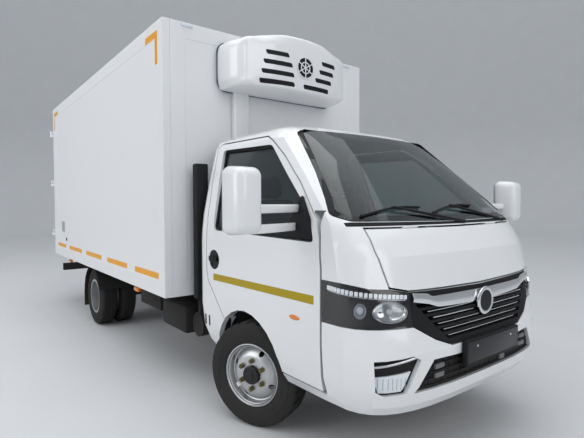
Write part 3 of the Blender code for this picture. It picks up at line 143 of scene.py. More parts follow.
floor_reach, bend_radius, wall_top, under_wheels = 18.0, 6.0, 26.0, 0.0005
sweep_line = [(radius, 0.0) for radius in (0.0, 2.0, 5.0, 10.0, floor_reach)]
for step in range(1, 9):
    turn = math.radians(step * 11.25)
    sweep_line.append((floor_reach + bend_radius * math.sin(turn),
                       bend_radius - bend_radius * math.cos(turn)))
sweep_line.append((floor_reach + bend_radius, wall_top))
floor_finish = start_finish("studio_floor", (0.62, 0.63, 0.64), 0.8)
bm = bmesh.new()
spin_line(bm, [(radius, 0, up - under_wheels) for radius, up in sweep_line], (0, 0, 0), (0, 0, 1), 64, False)
bmesh.ops.remove_doubles(bm, verts=bm.verts, dist=0.001)
bmesh.ops.recalc_face_normals(bm, faces=bm.faces)
if min(bm.faces, key=lambda face: face.calc_center_median().length).normal.z < 0:
    bmesh.ops.reverse_faces(bm, faces=bm.faces)
floor = finished_piece("floor", bm, floor_finish, None, None, 60)
floor_nodes, floor_links = floor_finish.node_tree.nodes, floor_finish.node_tree.links
floor_speckle = floor_nodes.new("ShaderNodeTexNoise")
floor_speckle.inputs["Scale"].default_value = 1.5
floor_speckle.inputs["Detail"].default_value = 6
floor_tone = floor_nodes.new("ShaderNodeMixRGB")
floor_tone.inputs["Color1"].default_value = (0.60, 0.61, 0.62, 1)
floor_tone.inputs["Color2"].default_value = (0.64, 0.65, 0.66, 1)
floor_place = floor_nodes.new("ShaderNodeTexCoord")
floor_links.new(floor_place.outputs["Object"], floor_speckle.inputs["Vector"])
floor_links.new(floor_speckle.outputs["Fac"], floor_tone.inputs["Fac"])
floor_links.new(floor_tone.outputs["Color"], floor_nodes["Principled BSDF"].inputs["Base Color"])


# Ladder chassis: two pressed steel side members, tubes across them and the parts that hang
# on them, dipped in satin black paint that road dust has dulled from below.
weather = bpy.data.node_groups.new("road_weather", "ShaderNodeTree")
for socket_name, socket_type, start in (
        ("Color", "NodeSocketColor", (0.5, 0.5, 0.5, 1)),
        ("Dust Color", "NodeSocketColor", (0.20, 0.18, 0.16, 1)),
        ("Dust Top", "NodeSocketFloat", 0.6), ("Dust", "NodeSocketFloat", 0.3),
        ("Roughness", "NodeSocketFloat", 0.4),
        ("Uneven", "NodeSocketFloat", 0.06), ("Grain Scale", "NodeSocketFloat", 400.0)):
    made_socket = weather.interface.new_socket(socket_name, in_out="INPUT", socket_type=socket_type)
    made_socket.default_value = start
for socket_name, socket_type in (("Color", "NodeSocketColor"), ("Roughness", "NodeSocketFloat"),
                                 ("Grain", "NodeSocketFloat")):
    weather.interface.new_socket(socket_name, in_out="OUTPUT", socket_type=socket_type)
wn, wl = weather.nodes, weather.links
given, result = wn.new("NodeGroupInput"), wn.new("NodeGroupOutput")
where, split = wn.new("ShaderNodeTexCoord"), wn.new("ShaderNodeSeparateXYZ")
cloud, grain = wn.new("ShaderNodeTexNoise"), wn.new("ShaderNodeTexNoise")
cloud.inputs["Scale"].default_value = 5.0
cloud.inputs["Detail"].default_value = 7.0
grain.inputs["Detail"].default_value = 2.0
fall, tone = wn.new("ShaderNodeMapRange"), wn.new("ShaderNodeMapRange")
fall.inputs["From Min"].default_value = 0.0
fall.inputs["To Min"].default_value = 1.0
fall.inputs["To Max"].default_value = 0.0
tone.inputs["To Min"].default_value = 1.0
dusty, patchy, level, dull, vary = [wn.new(kind) for kind in ["ShaderNodeMath"] * 5]
for sum_node, operation in ((dusty, "MULTIPLY"), (patchy, "MULTIPLY"), (level, "SUBTRACT"),
                            (dull, "MULTIPLY_ADD"), (vary, "MULTIPLY_ADD")):
    sum_node.operation = operation
level.inputs[0].default_value = 1.0
dull.inputs[1].default_value = 0.5
shade, cover = wn.new("ShaderNodeVectorMath"), wn.new("ShaderNodeMixRGB")
shade.operation = "SCALE"
for a, b in ((where.outputs["Object"], cloud.inputs["Vector"]),
             (where.outputs["Object"], grain.inputs["Vector"]),
             (given.outputs["Grain Scale"], grain.inputs["Scale"]),
             (where.outputs["Object"], split.inputs[0]),
             (split.outputs["Z"], fall.inputs["Value"]), (given.outputs["Dust Top"], fall.inputs["From Max"]),
             (fall.outputs["Result"], dusty.inputs[0]), (given.outputs["Dust"], dusty.inputs[1]),
             (dusty.outputs[0], patchy.inputs[0]), (cloud.outputs["Fac"], patchy.inputs[1]),
             (cloud.outputs["Fac"], tone.inputs["Value"]), (given.outputs["Uneven"], level.inputs[1]),
             (level.outputs[0], tone.inputs["To Max"]), (given.outputs["Color"], shade.inputs[0]),
             (tone.outputs["Result"], shade.inputs["Scale"]), (shade.outputs[0], cover.inputs["Color1"]),
             (given.outputs["Dust Color"], cover.inputs["Color2"]), (patchy.outputs[0], cover.inputs["Fac"]),
             (patchy.outputs[0], dull.inputs[0]), (given.outputs["Roughness"], dull.inputs[2]),
             (cloud.outputs["Fac"], vary.inputs[0]), (given.outputs["Uneven"], vary.inputs[1]),
             (dull.outputs[0], vary.inputs[2]), (cover.outputs["Color"], result.inputs["Color"]),
             (vary.outputs[0], result.inputs["Roughness"]), (grain.outputs["Fac"], result.inputs["Grain"])):
    wl.new(a, b)


def weathered(name, colour, roughness, metallic=0.0, dust=0.0, dust_top=0.6, uneven=0.06, grain_scale=400,
              grain_depth=0.0002, dust_colour=(0.20, 0.18, 0.16), specular=0.5):
    """A material whose colour, gloss and grain come from the road weather group."""
    made = start_finish(name, colour, roughness, metallic, specular)
    own, links = made.node_tree.nodes, made.node_tree.links
    worn = own.new("ShaderNodeGroup")
    worn.node_tree = weather
    worn.inputs["Color"].default_value = (*colour, 1)
    worn.inputs["Dust Color"].default_value = (*dust_colour, 1)
    for socket_name, value in (("Dust Top", dust_top), ("Dust", dust), ("Roughness", roughness),
                               ("Uneven", uneven),
                               ("Grain Scale", grain_scale)):
        worn.inputs[socket_name].default_value = value
    relief = own.new("ShaderNodeBump")
    relief.inputs["Strength"].default_value = 0.5
    relief.inputs["Distance"].default_value = grain_depth
    surface = own["Principled BSDF"]
    links.new(worn.outputs["Color"], surface.inputs["Base Color"])
    links.new(worn.outputs["Roughness"], surface.inputs["Roughness"])
    links.new(worn.outputs["Grain"], relief.inputs["Height"])
    links.new(relief.outputs["Normal"], surface.inputs["Normal"])
    return made


def merged_copy(*node_names):
    """The closed mesh of CAD nodes as one bmesh, its flat faces whole again."""
    bm = bmesh.new()
    for node_name in node_names:
        bm.from_mesh(nodes[node_name].data)
    bmesh.ops.remove_doubles(bm, verts=bm.verts, dist=0.00002)
    bmesh.ops.dissolve_limit(bm, angle_limit=0.01, verts=bm.verts, edges=bm.edges, delimit={"NORMAL"})
    return bm


def dress(node_name, body, finish, soften=0.002, smooth_to=35):
    """Stands for a CAD node with the same form, its round faces smooth and its edges broken."""
    piece = finished_piece(node_name + "_dressed", merged_copy(node_name), finish, body, soften, smooth_to)
    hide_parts(node_name)
    return piece


chassis_black = weathered("chassis_black", (0.016, 0.016, 0.017), 0.45, dust=0.75, dust_top=0.75, uneven=0.25,
                          grain_scale=260, grain_depth=0.0004, specular=0.2)
for node_name in ("chassis_frame", "front_axle", "rear_axle", "rear_bar"):
    dress(node_name, "vehicle", chassis_black, 0.0015)
cast_metal = weathered("cast_metal", (0.23, 0.22, 0.21), 0.5, metallic=0.8, dust=0.6, dust_top=0.7,
                       uneven=0.3, grain_scale=180, grain_depth=0.0008)
for node_name in ("engine", "exhaust"):
    dress(node_name, "vehicle", cast_metal, 0.003)
for side_name in ("left", "right"):
    dress("knuckle_" + side_name, "steering_" + side_name, cast_metal, 0.001)

# Moulded black parts: fuel tank, battery cover, air filter with its tall inlet, wheel liners, rear
# guards, bumper insert, plate frame, dashboard, cab floor and the cowl strip at the screen's foot
# (the node named wipers), in polypropylene with a fine moulded grain.
black_plastic = weathered("black_plastic", (0.012, 0.012, 0.013), 0.55, dust=0.35, dust_top=0.7, uneven=0.2,
                          grain_scale=900, grain_depth=0.0003, specular=0.2)
for node_name, edge in (("fuel_tank", 0.004), ("battery_box", 0.003), ("air_intake", 0.003),
                        ("wheel_housing_left", None), ("wheel_housing_right", None), ("rear_mudguards", None),
                        ("plate_frame", 0.002), ("bumper_insert", 0.001), ("dashboard", 0.006),
                        ("cab_floor", None), ("wipers", 0.001)):
    dress(node_name, "vehicle", black_plastic, edge)


# Cab: welded steel shell, doors, bonnet and moulded bumper, sprayed gloss white with a clear coat.
# The CAD forms are carried over, merged and with their panel edges rolled by a few millimetres.
white_paint = weathered("white_paint", (0.77, 0.78, 0.79), 0.24, dust=0.14, dust_top=0.50, uneven=0.02,
                        grain_scale=60, grain_depth=0.00006, dust_colour=(0.42, 0.40, 0.37))
set_shader(white_paint, ("Coat Weight", 0.7), ("Coat Roughness", 0.04))
for node_name, body in (("cab_shell", "vehicle"), ("bumper", "vehicle"), ("bonnet", "bonnet"),
                        ("door_left", "cab_door_left"), ("door_right", "cab_door_right")):
    dress(node_name, body, white_paint, 0.003, 32)

# Door stripe: one length of ochre adhesive film on each door, laid on the pressed skin below
# the handle and stopped short of the panel's front edge.
def surface_of(*node_names):
    """A search tree of CAD nodes, to lay trim on their skin."""
    bm = bmesh.new()
    for node_name in node_names:
        bm.from_mesh(nodes[node_name].data)
    tree = BVHTree.FromBMesh(bm)
    bm.free()
    return tree


def on_skin(tree, axis, facing, first, second, stand=0.0):
    """The point of a skin seen along an axis, lifted off it by stand."""
    if axis == "Y":
        start, way = Vector((first, facing * 8, second)), Vector((0, -facing, 0))
    else:
        start, way = Vector((facing * 8, first, second)), Vector((-facing, 0, 0))
    hit = tree.ray_cast(start, way)[0]
    return (hit if hit else start + way * 7.2) - way * stand


def along_line(line, share):
    """The point at a share of a line's length."""
    lengths = [(Vector(b) - Vector(a)).length for a, b in zip(line, line[1:])]
    left = share * sum(lengths)
    for (a, b), length in zip(zip(line, line[1:]), lengths):
        if left <= length or (a, b) == (line[-2], line[-1]):
            return Vector(a).lerp(Vector(b), left / length)
        left -= length


def laid_band(bm, tree, axis, facing, upper, lower, stand, steps=24, rows=2):
    """Adds to bm a strip between two lines, laid on a skin seen along an axis."""
    for vert in bmesh.ops.create_grid(bm, x_segments=steps, y_segments=rows, size=0.5)["verts"]:
        across, up = vert.co.x + 0.5, vert.co.y + 0.5
        first, second = along_line(lower, across).lerp(along_line(upper, across), up)
        vert.co = on_skin(tree, axis, facing, first, second, stand)


def thicken(bm, outward, thickness):
    """Turns an open sheet to face outward and gives it a real thickness behind that face."""
    bmesh.ops.recalc_face_normals(bm, faces=bm.faces)
    if sum((face.normal * face.calc_area() for face in bm.faces), Vector()).dot(outward) < 0:
        bmesh.ops.reverse_faces(bm, faces=bm.faces)
    bmesh.ops.solidify(bm, geom=bm.faces, thickness=thickness)
    bmesh.ops.recalc_face_normals(bm, faces=bm.faces)


def trim(name, tree, axis, facing, upper, lower, finish, body, stand=0.001, thickness=0.001, steps=24,
         rows=2, soften=None):
    """A strip of trim laid on the skin, with a real thickness."""
    bm = bmesh.new()
    laid_band(bm, tree, axis, facing, upper, lower, stand + thickness, steps, rows)
    thicken(bm, Vector((0, facing, 0)) if axis == "Y" else Vector((facing, 0, 0)), thickness)
    return finished_piece(name, bm, finish, body, soften)


stripe_film = weathered("stripe_film", (0.40, 0.29, 0.006), 0.3, uneven=0.08, grain_scale=700,
                        grain_depth=0.00005, specular=0.25)
stripe_front, stripe_rear = -2.578, -1.50
both_sides = ((1, "left"), (-1, "right"))
for side, side_name in both_sides:
    trim("stripe_" + side_name, surface_of("door_" + side_name), "X", side,
         [(stripe_front, 0.904), (stripe_rear, 0.892)], [(stripe_front, 0.858), (stripe_rear, 0.846)],
         stripe_film, "cab_door_" + side_name, 0.0002, 0.0004, 40)

# Windscreen and side glass: laminated and tempered float glass with a slight green tint, with
# the black ceramic border printed on the screen and a rubber seal round the side windows.
faint_film = bpy.data.node_groups.new("faint_film", "ShaderNodeTree")
for socket_name in ("Scale", "Roughest"):
    faint_film.interface.new_socket(socket_name, in_out="INPUT", socket_type="NodeSocketFloat")
faint_film.interface.new_socket("Roughness", in_out="OUTPUT", socket_type="NodeSocketFloat")
film_given, film_result, film_place, film, film_level = [faint_film.nodes.new(kind) for kind in (
    "NodeGroupInput", "NodeGroupOutput", "ShaderNodeTexCoord", "ShaderNodeTexNoise", "ShaderNodeMapRange")]
film_level.inputs["To Min"].default_value = 0.0
for a, b in ((film_place.outputs["Object"], film.inputs["Vector"]),
             (film_given.outputs["Scale"], film.inputs["Scale"]),
             (film.outputs["Fac"], film_level.inputs["Value"]),
             (film_given.outputs["Roughest"], film_level.inputs["To Max"]),
             (film_level.outputs["Result"], film_result.inputs["Roughness"])):
    faint_film.links.new(a, b)


def see_through(name, colour, ior, film_scale, roughest):
    """A clear material with a faint uneven film on it."""
    made = start_finish(name, colour, 0.0)
    set_shader(made, ("Transmission Weight", 1.0), ("IOR", ior))
    film_group = made.node_tree.nodes.new("ShaderNodeGroup")
    film_group.node_tree = faint_film
    film_group.inputs["Scale"].default_value = film_scale
    film_group.inputs["Roughest"].default_value = roughest
    made.node_tree.links.new(film_group.outputs["Roughness"],
                             made.node_tree.nodes["Principled BSDF"].inputs["Roughness"])
    return made


def edge_strip(node_name, outward, reach, wide, lift, thickness):
    """The outer face of a pane as a strip along its edge, lifted off it and given a thickness."""
    bm = merged_copy(node_name)
    bmesh.ops.triangulate(bm, faces=bm.faces)
    bmesh.ops.delete(bm, geom=[face for face in bm.faces if face.normal.dot(outward) < reach],
                     context="FACES")
    bmesh.ops.dissolve_limit(bm, angle_limit=math.radians(12), verts=bm.verts, edges=bm.edges)
    inner = bm.faces[:]
    bmesh.ops.inset_region(bm, faces=inner, thickness=wide, depth=0, use_boundary=True, use_even_offset=True)
    bmesh.ops.delete(bm, geom=inner, context="FACES")
    bmesh.ops.translate(bm, vec=outward * (lift + thickness), verts=bm.verts)
    thicken(bm, outward, thickness)
    return bm


glass = see_through("tinted_glass", (0.34, 0.40, 0.40), 1.5, 3.0, 0.03)
for node_name, body in (("windscreen", "vehicle"), ("door_glass_left", "cab_door_left"),
                        ("door_glass_right", "cab_door_right")):
    dress(node_name, body, glass, None)
border_black = weathered("border_black", (0.006, 0.006, 0.007), 0.3, uneven=0.1, grain_scale=500,
                         grain_depth=0.00005, specular=0.2)
screen_skin = surface_of("windscreen")
screen_out = Vector((0, -0.7, 0.7)).normalized()
finished_piece("screen_border", edge_strip("windscreen", screen_out, 0.35, 0.036, 0.0004, 0.0006),
               border_black, "vehicle")
seal_rubber = weathered("seal_rubber", (0.012, 0.012, 0.012), 0.6, dust=0.2, dust_top=0.5, uneven=0.2,
                        grain_scale=1200, specular=0.2)
for side, side_name in both_sides:
    pane_out = Vector((side, 0, 0.2)).normalized()
    finished_piece("window_seal_" + side_name,
                   edge_strip("door_glass_" + side_name, pane_out, 0.6, 0.020, 0.0004, 0.012),
                   seal_rubber, "cab_door_" + side_name, 0.001)

# Drain slots: a pair of upright slots in each rear corner of the cab, below the doors' rear edges,
# drawn as thin black film laid on the shell's skin: painted shade standing for the openings.
corner_skin = surface_of("cab_shell")
for side, side_name in both_sides:
    for slot_name, slot_y in (("rear", -1.372), ("front", -1.428)):
        # Painted shade: each slot is a flat black strip on the panel where the opening's inside is dark.
        trim("painted_shade_drain_slot_" + slot_name + "_" + side_name, corner_skin, "X", side,
             [(slot_y - 0.010, 0.586), (slot_y + 0.010, 0.582)],
             [(slot_y - 0.010, 0.512), (slot_y + 0.010, 0.508)],
             border_black, "vehicle", 0.0003, 0.0008, 6, 8)

# Wipers: two pressed arms on spindles in the cowl, cranked beyond the spindle and tapered to
# the blade, each with a rubber blade on the screen.
def bar_between(bm, start, end, radius, steps=10, end_radius=None):
    """Adds a round bar, or a taper, between two points."""
    start, end = Vector(start), Vector(end)
    turn = (end - start).to_track_quat("Z", "Y").to_matrix().to_4x4()
    bmesh.ops.create_cone(bm, cap_ends=True, segments=steps, radius1=radius,
                          radius2=radius if end_radius is None else end_radius, depth=(end - start).length,
                          matrix=Matrix.Translation((start + end) / 2) @ turn)


def bar_chain(bm, points, radius, steps):
    """Adds round bars from point to point along a line."""
    for start, end in zip(points, points[1:]):
        bar_between(bm, start, end, radius, steps)


wiper_black = weathered("wiper_black", (0.014, 0.014, 0.015), 0.35, dust=0.1, dust_top=0.5, uneven=0.1,
                        grain_scale=500, grain_depth=0.0001, specular=0.2)
cowl_skin = surface_of("windscreen", "cab_shell")
spindle_z, blade_rise, blade_stand, elbow_stand = 1.257, 0.045, 0.012, 0.028
bm = bmesh.new()
for pivot_x, elbow_x, blade_from, blade_to, blade_low in ((0.11, -0.43, -0.68, -0.20, 1.312),
                                                          (0.60, 0.10, -0.12, 0.34, 1.322)):
    foot = on_skin(cowl_skin, "Y", -1, pivot_x, spindle_z) + Vector((0, 0.002, 0.012))
    bar_between(bm, foot + Vector((0, 0.010, 0)), foot - Vector((0, 0.006, 0)), 0.011, 14)
    blade = [on_skin(screen_skin, "Y", -1, blade_from + (blade_to - blade_from) * share,
                     blade_low + blade_rise * math.sin(share * 2.0), blade_stand)
             for share in (0, 0.25, 0.5, 0.75, 1)]
    bar_chain(bm, blade, 0.007, 8)
    bar_chain(bm, [point + Vector((0, 0.007, 0)) for point in blade], 0.003, 6)
    elbow = on_skin(screen_skin, "Y", -1, elbow_x, blade_low + blade_rise, elbow_stand)
    crank = foot.lerp(elbow, 0.35) - Vector((0, 0.004, 0))
    bar_between(bm, foot, crank, 0.009, 10)
    bar_between(bm, crank, elbow, 0.009, 10, 0.006)
    bar_between(bm, elbow, blade[2], 0.006, 8)
finished_piece("wiper_arms", bm, wiper_black, "vehicle")

# Grille: black moulded frame with slots, a chromed bar across its top that swells round a
# plain blank badge, and bright edges on the slats.
dress("grille", "vehicle", black_plastic, 0.0015)
chrome = weathered("chrome", (0.78, 0.79, 0.80), 0.08, metallic=1.0, uneven=0.04, grain_scale=300,
                   grain_depth=0.00002)
slat_skin = surface_of("grille")
nose_slope, nose_line_z = 0.13, 0.932
slot_half, bar_half = 0.06, 0.566
bar_stand, bar_thick, bar_crown = 0.001, 0.010, 0.006
slat_rows, slat_pitch, lowest_slat_z = 5, 0.0331, 0.712
badge_z, badge_radius = 0.845, 0.066


def nose_point(x, z, stand):
    """A point on the nose's smooth form over the slotted grille, stand ahead of it."""
    hit = on_skin(slat_skin, "Y", -1, math.copysign(max(abs(x), slot_half), x), nose_line_z)
    return Vector((x, hit.y - nose_slope * (nose_line_z - z) - stand, z))


def mirrored_line(half, middle):
    """A line across the nose from its right half and its middle point."""
    return half + [middle] + [(-x, z) for x, z in reversed(half)]


def ring_ahead(bm, centre, radius, wide, deep, sides):
    """Adds a ring of oval section that faces ahead about a centre."""
    turns = [math.tau * side / sides for side in range(sides)]
    spin_line(bm,
              [centre + Vector((radius + wide * math.cos(turn), deep * math.sin(turn), 0)) for turn in turns],
              centre, (0, 1, 0), 40)


bar_upper = mirrored_line([(-bar_half, 0.944), (-0.468, 0.934), (-0.44, 0.917)], (0, 0.911))
bar_lower = mirrored_line([(-bar_half, 0.900), (-0.468, 0.882), (-0.40, 0.860)], (0, 0.843))
bm = bmesh.new()
for vert in bmesh.ops.create_grid(bm, x_segments=56, y_segments=8, size=0.5)["verts"]:
    across, up = vert.co.x + 0.5, vert.co.y + 0.5
    x, z = along_line(bar_lower, across).lerp(along_line(bar_upper, across), up)
    crown = bar_crown * (1 - (2 * up - 1) ** 2)
    vert.co = nose_point(max(-bar_half, min(bar_half, x)), z, bar_stand + bar_thick + crown)
    vert.co.x = x
thicken(bm, Vector((0, -1, 0)), bar_thick)
finished_piece("grille_bar", bm, chrome, "vehicle", 0.0015)

bm = bmesh.new()
for row in range(slat_rows):
    reach = 0.335 + 0.034 * row
    for side in (1, -1):
        bar_chain(bm, [nose_point(side * reach * step / 12, lowest_slat_z + slat_pitch * row, 0.0005)
                       for step in range(13)], 0.0026, 6)
finished_piece("slat_edges", bm, chrome, "vehicle")

badge_place = nose_point(0, badge_z, 0.022)
bm = bmesh.new()
ring_ahead(bm, badge_place, badge_radius, 0.012, 0.008, 10)
finished_piece("badge_ring", bm, chrome, "vehicle")
bm = bmesh.new()
bar_between(bm, badge_place + Vector((0, 0.006, 0)), badge_place - Vector((0, 0.006, 0)), 0.060, 40, 0.058)
finished_piece("badge_disc", bm, border_black, "vehicle", 0.002)

# Bumper: silver fog lamp bars and LED lenses in dark pockets, a black lower mesh with two
# square covers for the towing eyes, and a blank number plate in its frame.
def turned_block(bm, place, size, soften=0.0, segments=2):
    """Adds a box of a size under a placing matrix, its edges rounded."""
    made = bmesh.ops.create_cube(bm, size=1.0, matrix=place @ Matrix.Diagonal((*size, 1)))["verts"]
    if soften:
        edges = list({edge for vert in made for edge in vert.link_edges})
        bmesh.ops.bevel(bm, geom=edges, offset=soften, segments=segments, profile=0.5, affect="EDGES",
                        material=-1)


def block_between(bm, one, other, soften=0.0, segments=2):
    """Adds a box between two opposite corners, its edges rounded."""
    place = Matrix.Translation([(a + b) / 2 for a, b in zip(one, other)])
    turned_block(bm, place, [abs(b - a) for a, b in zip(one, other)], soften, segments)


lens_clear = weathered("lamp_lens", (0.72, 0.76, 0.80), 0.08, uneven=0.03, grain_scale=300,
                       grain_depth=0.00003)
silver_trim = weathered("silver_trim", (0.62, 0.63, 0.65), 0.22, metallic=0.9, dust=0.1, dust_top=0.5,
                        uneven=0.05, grain_scale=500, grain_depth=0.00003)
insert_skin = surface_of("bumper_insert")
for side, side_name in both_sides:
    bm = bmesh.new()
    bar_chain(bm, [on_skin(insert_skin, "Y", -1, side * (0.772 - 0.225 * share), 0.604 + 0.044 * share, 0.014)
                   for share in (step / 8 for step in range(9))], 0.0065, 10)
    finished_piece("fog_bar_" + side_name, bm, silver_trim, "vehicle")
    trim("fog_lens_" + side_name, insert_skin, "Y", -1, [(side * 0.602, 0.578), (side * 0.768, 0.556)],
         [(side * 0.648, 0.486), (side * 0.742, 0.480)], lens_clear, "vehicle", 0.002, 0.012, 10, 6, 0.002)
    bm = bmesh.new()
    for column in range(7):
        x = side * (0.632 + 0.019 * column)
        bar_chain(bm, [on_skin(insert_skin, "Y", -1, x, z, 0.0155) for z in (0.497, 0.552)], 0.0016, 6)
    finished_piece("fog_ribs_" + side_name, bm, silver_trim, "vehicle")
bm = bmesh.new()
for row in range(4):
    half = 0.555 - 0.035 * row
    bar_chain(bm, [on_skin(insert_skin, "Y", -1, half * (step / 12 - 1), 0.484 + 0.033 * row, 0.006)
                   for step in range(25)], 0.005, 6)
for column in range(23):
    x = -0.528 + 0.048 * column
    mesh_top = 0.60 if abs(x) < 0.47 else 0.545
    bar_chain(bm, [on_skin(insert_skin, "Y", -1, x, z, 0.003) for z in (0.478, mesh_top)], 0.0025, 6)
finished_piece("lower_mesh", bm, black_plastic, "vehicle")
cover_grey = weathered("cover_grey", (0.16, 0.16, 0.165), 0.5, dust=0.3, uneven=0.15, grain_scale=700)
bm = bmesh.new()
for x, z, half, high in ((0.415, 0.575, 0.036, 0.012), (0.415, 0.530, 0.036, 0.012),
                         (-0.415, 0.575, 0.036, 0.012), (-0.415, 0.530, 0.036, 0.012),
                         (0.17, 0.512, 0.026, 0.022)):
    spot = on_skin(insert_skin, "Y", -1, x, z, 0.008)
    block_between(bm, spot - Vector((half, 0.005, high)), spot + Vector((half, 0.010, high)), 0.003)
finished_piece("towing_covers", bm, cover_grey, "vehicle")
plate_low, plate_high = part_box("plate_frame")
plate_blank = weathered("plate_blank", (0.030, 0.031, 0.034), 0.3, dust=0.1, uneven=0.08, grain_scale=900,
                        grain_depth=0.00008, specular=0.25)
bm = bmesh.new()
block_between(bm, (plate_low.x + 0.010, plate_low.y - 0.0015, plate_low.z + 0.016),
              (plate_high.x - 0.010, plate_low.y + 0.004, plate_high.z - 0.010), 0.002)
finished_piece("plate_blank", bm, plate_blank, "vehicle")
bm = bmesh.new()
screw_z = plate_low.z + 0.095
for x in (-0.17, 0.17):
    bar_between(bm, (x, plate_low.y - 0.0010, screw_z), (x, plate_low.y - 0.0045, screw_z), 0.006, 12, 0.005)
finished_piece("plate_screws", bm, silver_trim, "vehicle")

# Headlights: a clear cover over a dark pocket that holds a chromed bowl, a small projector and
# a row of daytime light segments under its upper edge.
def pour(bm, part):
    """Adds a bmesh of its own to another one and frees it."""
    spare = bpy.data.meshes.new("part")
    part.to_mesh(spare)
    part.free()
    bm.from_mesh(spare)
    bpy.data.meshes.remove(spare)


clear_cover = see_through("clear_cover", (0.96, 0.97, 0.98), 1.45, 20.0, 0.05)
day_light = weathered("day_light", (0.85, 0.88, 0.92), 0.15, uneven=0.02, grain_scale=300,
                      grain_depth=0.00003)
set_shader(day_light, ("Emission Color", (0.9, 0.95, 1, 1)), ("Emission Strength", 0.25))
light_count, light_size = 19, (0.017, 0.022, 0.008)
pocket_depth = 0.050
for side, side_name in both_sides:
    outward = Vector((side * 0.62, -0.78, 0.0)).normalized()
    bm = merged_copy("headlight_" + side_name)
    lamp_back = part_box("headlight_" + side_name)[1].y - 0.003
    bmesh.ops.delete(bm, geom=[face for face in bm.faces if face.normal.dot(outward) < 0.25], context="FACES")
    pocket = bm.copy()
    bmesh.ops.solidify(bm, geom=bm.faces, thickness=0.002)
    bmesh.ops.recalc_face_normals(bm, faces=bm.faces)
    cover = finished_piece("headlight_cover_" + side_name, bm, clear_cover, "vehicle")
    front_faces = pocket.faces[:]
    pushed = bmesh.ops.extrude_face_region(pocket, geom=front_faces)["geom"]
    back_verts = [item for item in pushed if isinstance(item, bmesh.types.BMVert)]
    bmesh.ops.translate(pocket, vec=-outward * pocket_depth, verts=back_verts)
    for vert in back_verts:
        vert.co.y = min(vert.co.y, lamp_back)
    bmesh.ops.delete(pocket, geom=[face for face in front_faces if face.is_valid], context="FACES")
    bmesh.ops.translate(pocket, vec=-outward * 0.0025, verts=pocket.verts)
    bmesh.ops.recalc_face_normals(pocket, faces=pocket.faces)
    housing = finished_piece("headlight_housing_" + side_name, pocket, black_plastic, "vehicle")
    wall = housing.modifiers.new("wall", "SOLIDIFY")
    wall.thickness = 0.0015
    wall.offset = 0
    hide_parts("headlight_" + side_name)
    lamp_skin = surface_of("headlight_" + side_name)
    face_turn = outward.to_track_quat("Z", "Y").to_matrix().to_4x4()
    bm = bmesh.new()
    for x, z, wide, high, deep in ((0.685, 0.858, 0.082, 0.050, 0.036), (0.800, 0.866, 0.027, 0.036, 0.026)):
        bowl = bmesh.new()
        bmesh.ops.create_uvsphere(bowl, u_segments=32, v_segments=16, radius=1.0)
        bmesh.ops.bisect_plane(bowl, geom=bowl.verts[:] + bowl.edges[:] + bowl.faces[:], plane_co=(0, 0, 0),
                               plane_no=(0, 0, 1), clear_outer=True)
        bmesh.ops.scale(bowl, vec=(wide, high, deep), verts=bowl.verts)
        seat = Matrix.Translation(on_skin(lamp_skin, "Y", -1, side * x, z) - outward * 0.010)
        bmesh.ops.transform(bowl, matrix=seat @ face_turn, verts=bowl.verts)
        bmesh.ops.reverse_faces(bowl, faces=bowl.faces)
        bmesh.ops.solidify(bowl, geom=bowl.faces, thickness=0.0015)
        pour(bm, bowl)
    finished_piece("headlight_bowls_" + side_name, bm, chrome, "vehicle")
    bm = bmesh.new()
    for x, z, radius in ((0.685, 0.858, 0.017), (0.800, 0.866, 0.020)):
        seat = Matrix.Translation(on_skin(lamp_skin, "Y", -1, side * x, z) - outward * 0.026)
        bmesh.ops.create_uvsphere(bm, u_segments=24, v_segments=12, radius=radius, matrix=seat)
    finished_piece("headlight_projectors_" + side_name, bm, lens_clear, "vehicle")
    bm = bmesh.new()
    shelf_line = []
    for step in range(light_count + 1):
        share = step / light_count
        azimuth = math.radians(11 + 66 * share)
        ahead = Vector((side * math.sin(azimuth), -math.cos(azimuth), 0))
        eye = Vector((side * 0.50, -2.60, 0.922 + 0.038 * share)) + ahead * 2
        spot = lamp_skin.ray_cast(eye, -ahead)[0]
        shelf_spot = lamp_skin.ray_cast(eye - Vector((0, 0, 0.015)), -ahead)[0]
        if spot is None or shelf_spot is None:
            continue
        turned = ahead.to_track_quat("Z", "Y").to_matrix().to_4x4()
        turned_block(bm, Matrix.Translation(spot - ahead * 0.010) @ turned, light_size, 0.003)
        shelf_line.append(shelf_spot - ahead * 0.012)
    finished_piece("headlight_lights_" + side_name, bm, day_light, "vehicle")
    bm = bmesh.new()
    bar_chain(bm, shelf_line, 0.0022, 6)
    finished_piece("headlight_shelf_" + side_name, bm, chrome, "vehicle")

# Door handles and repeaters: a black paddle in a dished recess on each door, and an amber lens
# on each fender.
def oval(bm, place, half, around=24):
    """Adds an ellipsoid with three half sizes about a place."""
    bmesh.ops.create_uvsphere(bm, u_segments=around, v_segments=12, radius=1.0,
                              matrix=Matrix.Translation(place) @ Matrix.Diagonal((*half, 1)))


amber_lens = weathered("amber_lens", (0.75, 0.22, 0.02), 0.15, uneven=0.08, grain_scale=900,
                       grain_depth=0.00008)
for side, side_name in both_sides:
    body = "cab_door_" + side_name
    door_skin = surface_of("door_" + side_name)
    bm = bmesh.new()
    place = on_skin(door_skin, "X", side, -1.512, 0.99)
    oval(bm, place, (0.003, 0.072, 0.068), 28)
    finished_piece("handle_dish_" + side_name, bm, border_black, body)
    bm = bmesh.new()
    centre, half = place + Vector((side * 0.010, 0, 0.006)), Vector((0.007, 0.055, 0.016))
    block_between(bm, centre - half, centre + half, 0.006, 3)
    lock = place + Vector((0, 0.03, -0.035))
    bar_between(bm, lock, lock + Vector((side * 0.006, 0, 0)), 0.010, 16)
    finished_piece("handle_" + side_name, bm, black_plastic, body)
    bm = bmesh.new()
    oval(bm, on_skin(door_skin, "X", side, -2.418, 0.762), (0.009, 0.046, 0.013))
    finished_piece("repeater_" + side_name, bm, amber_lens, body)

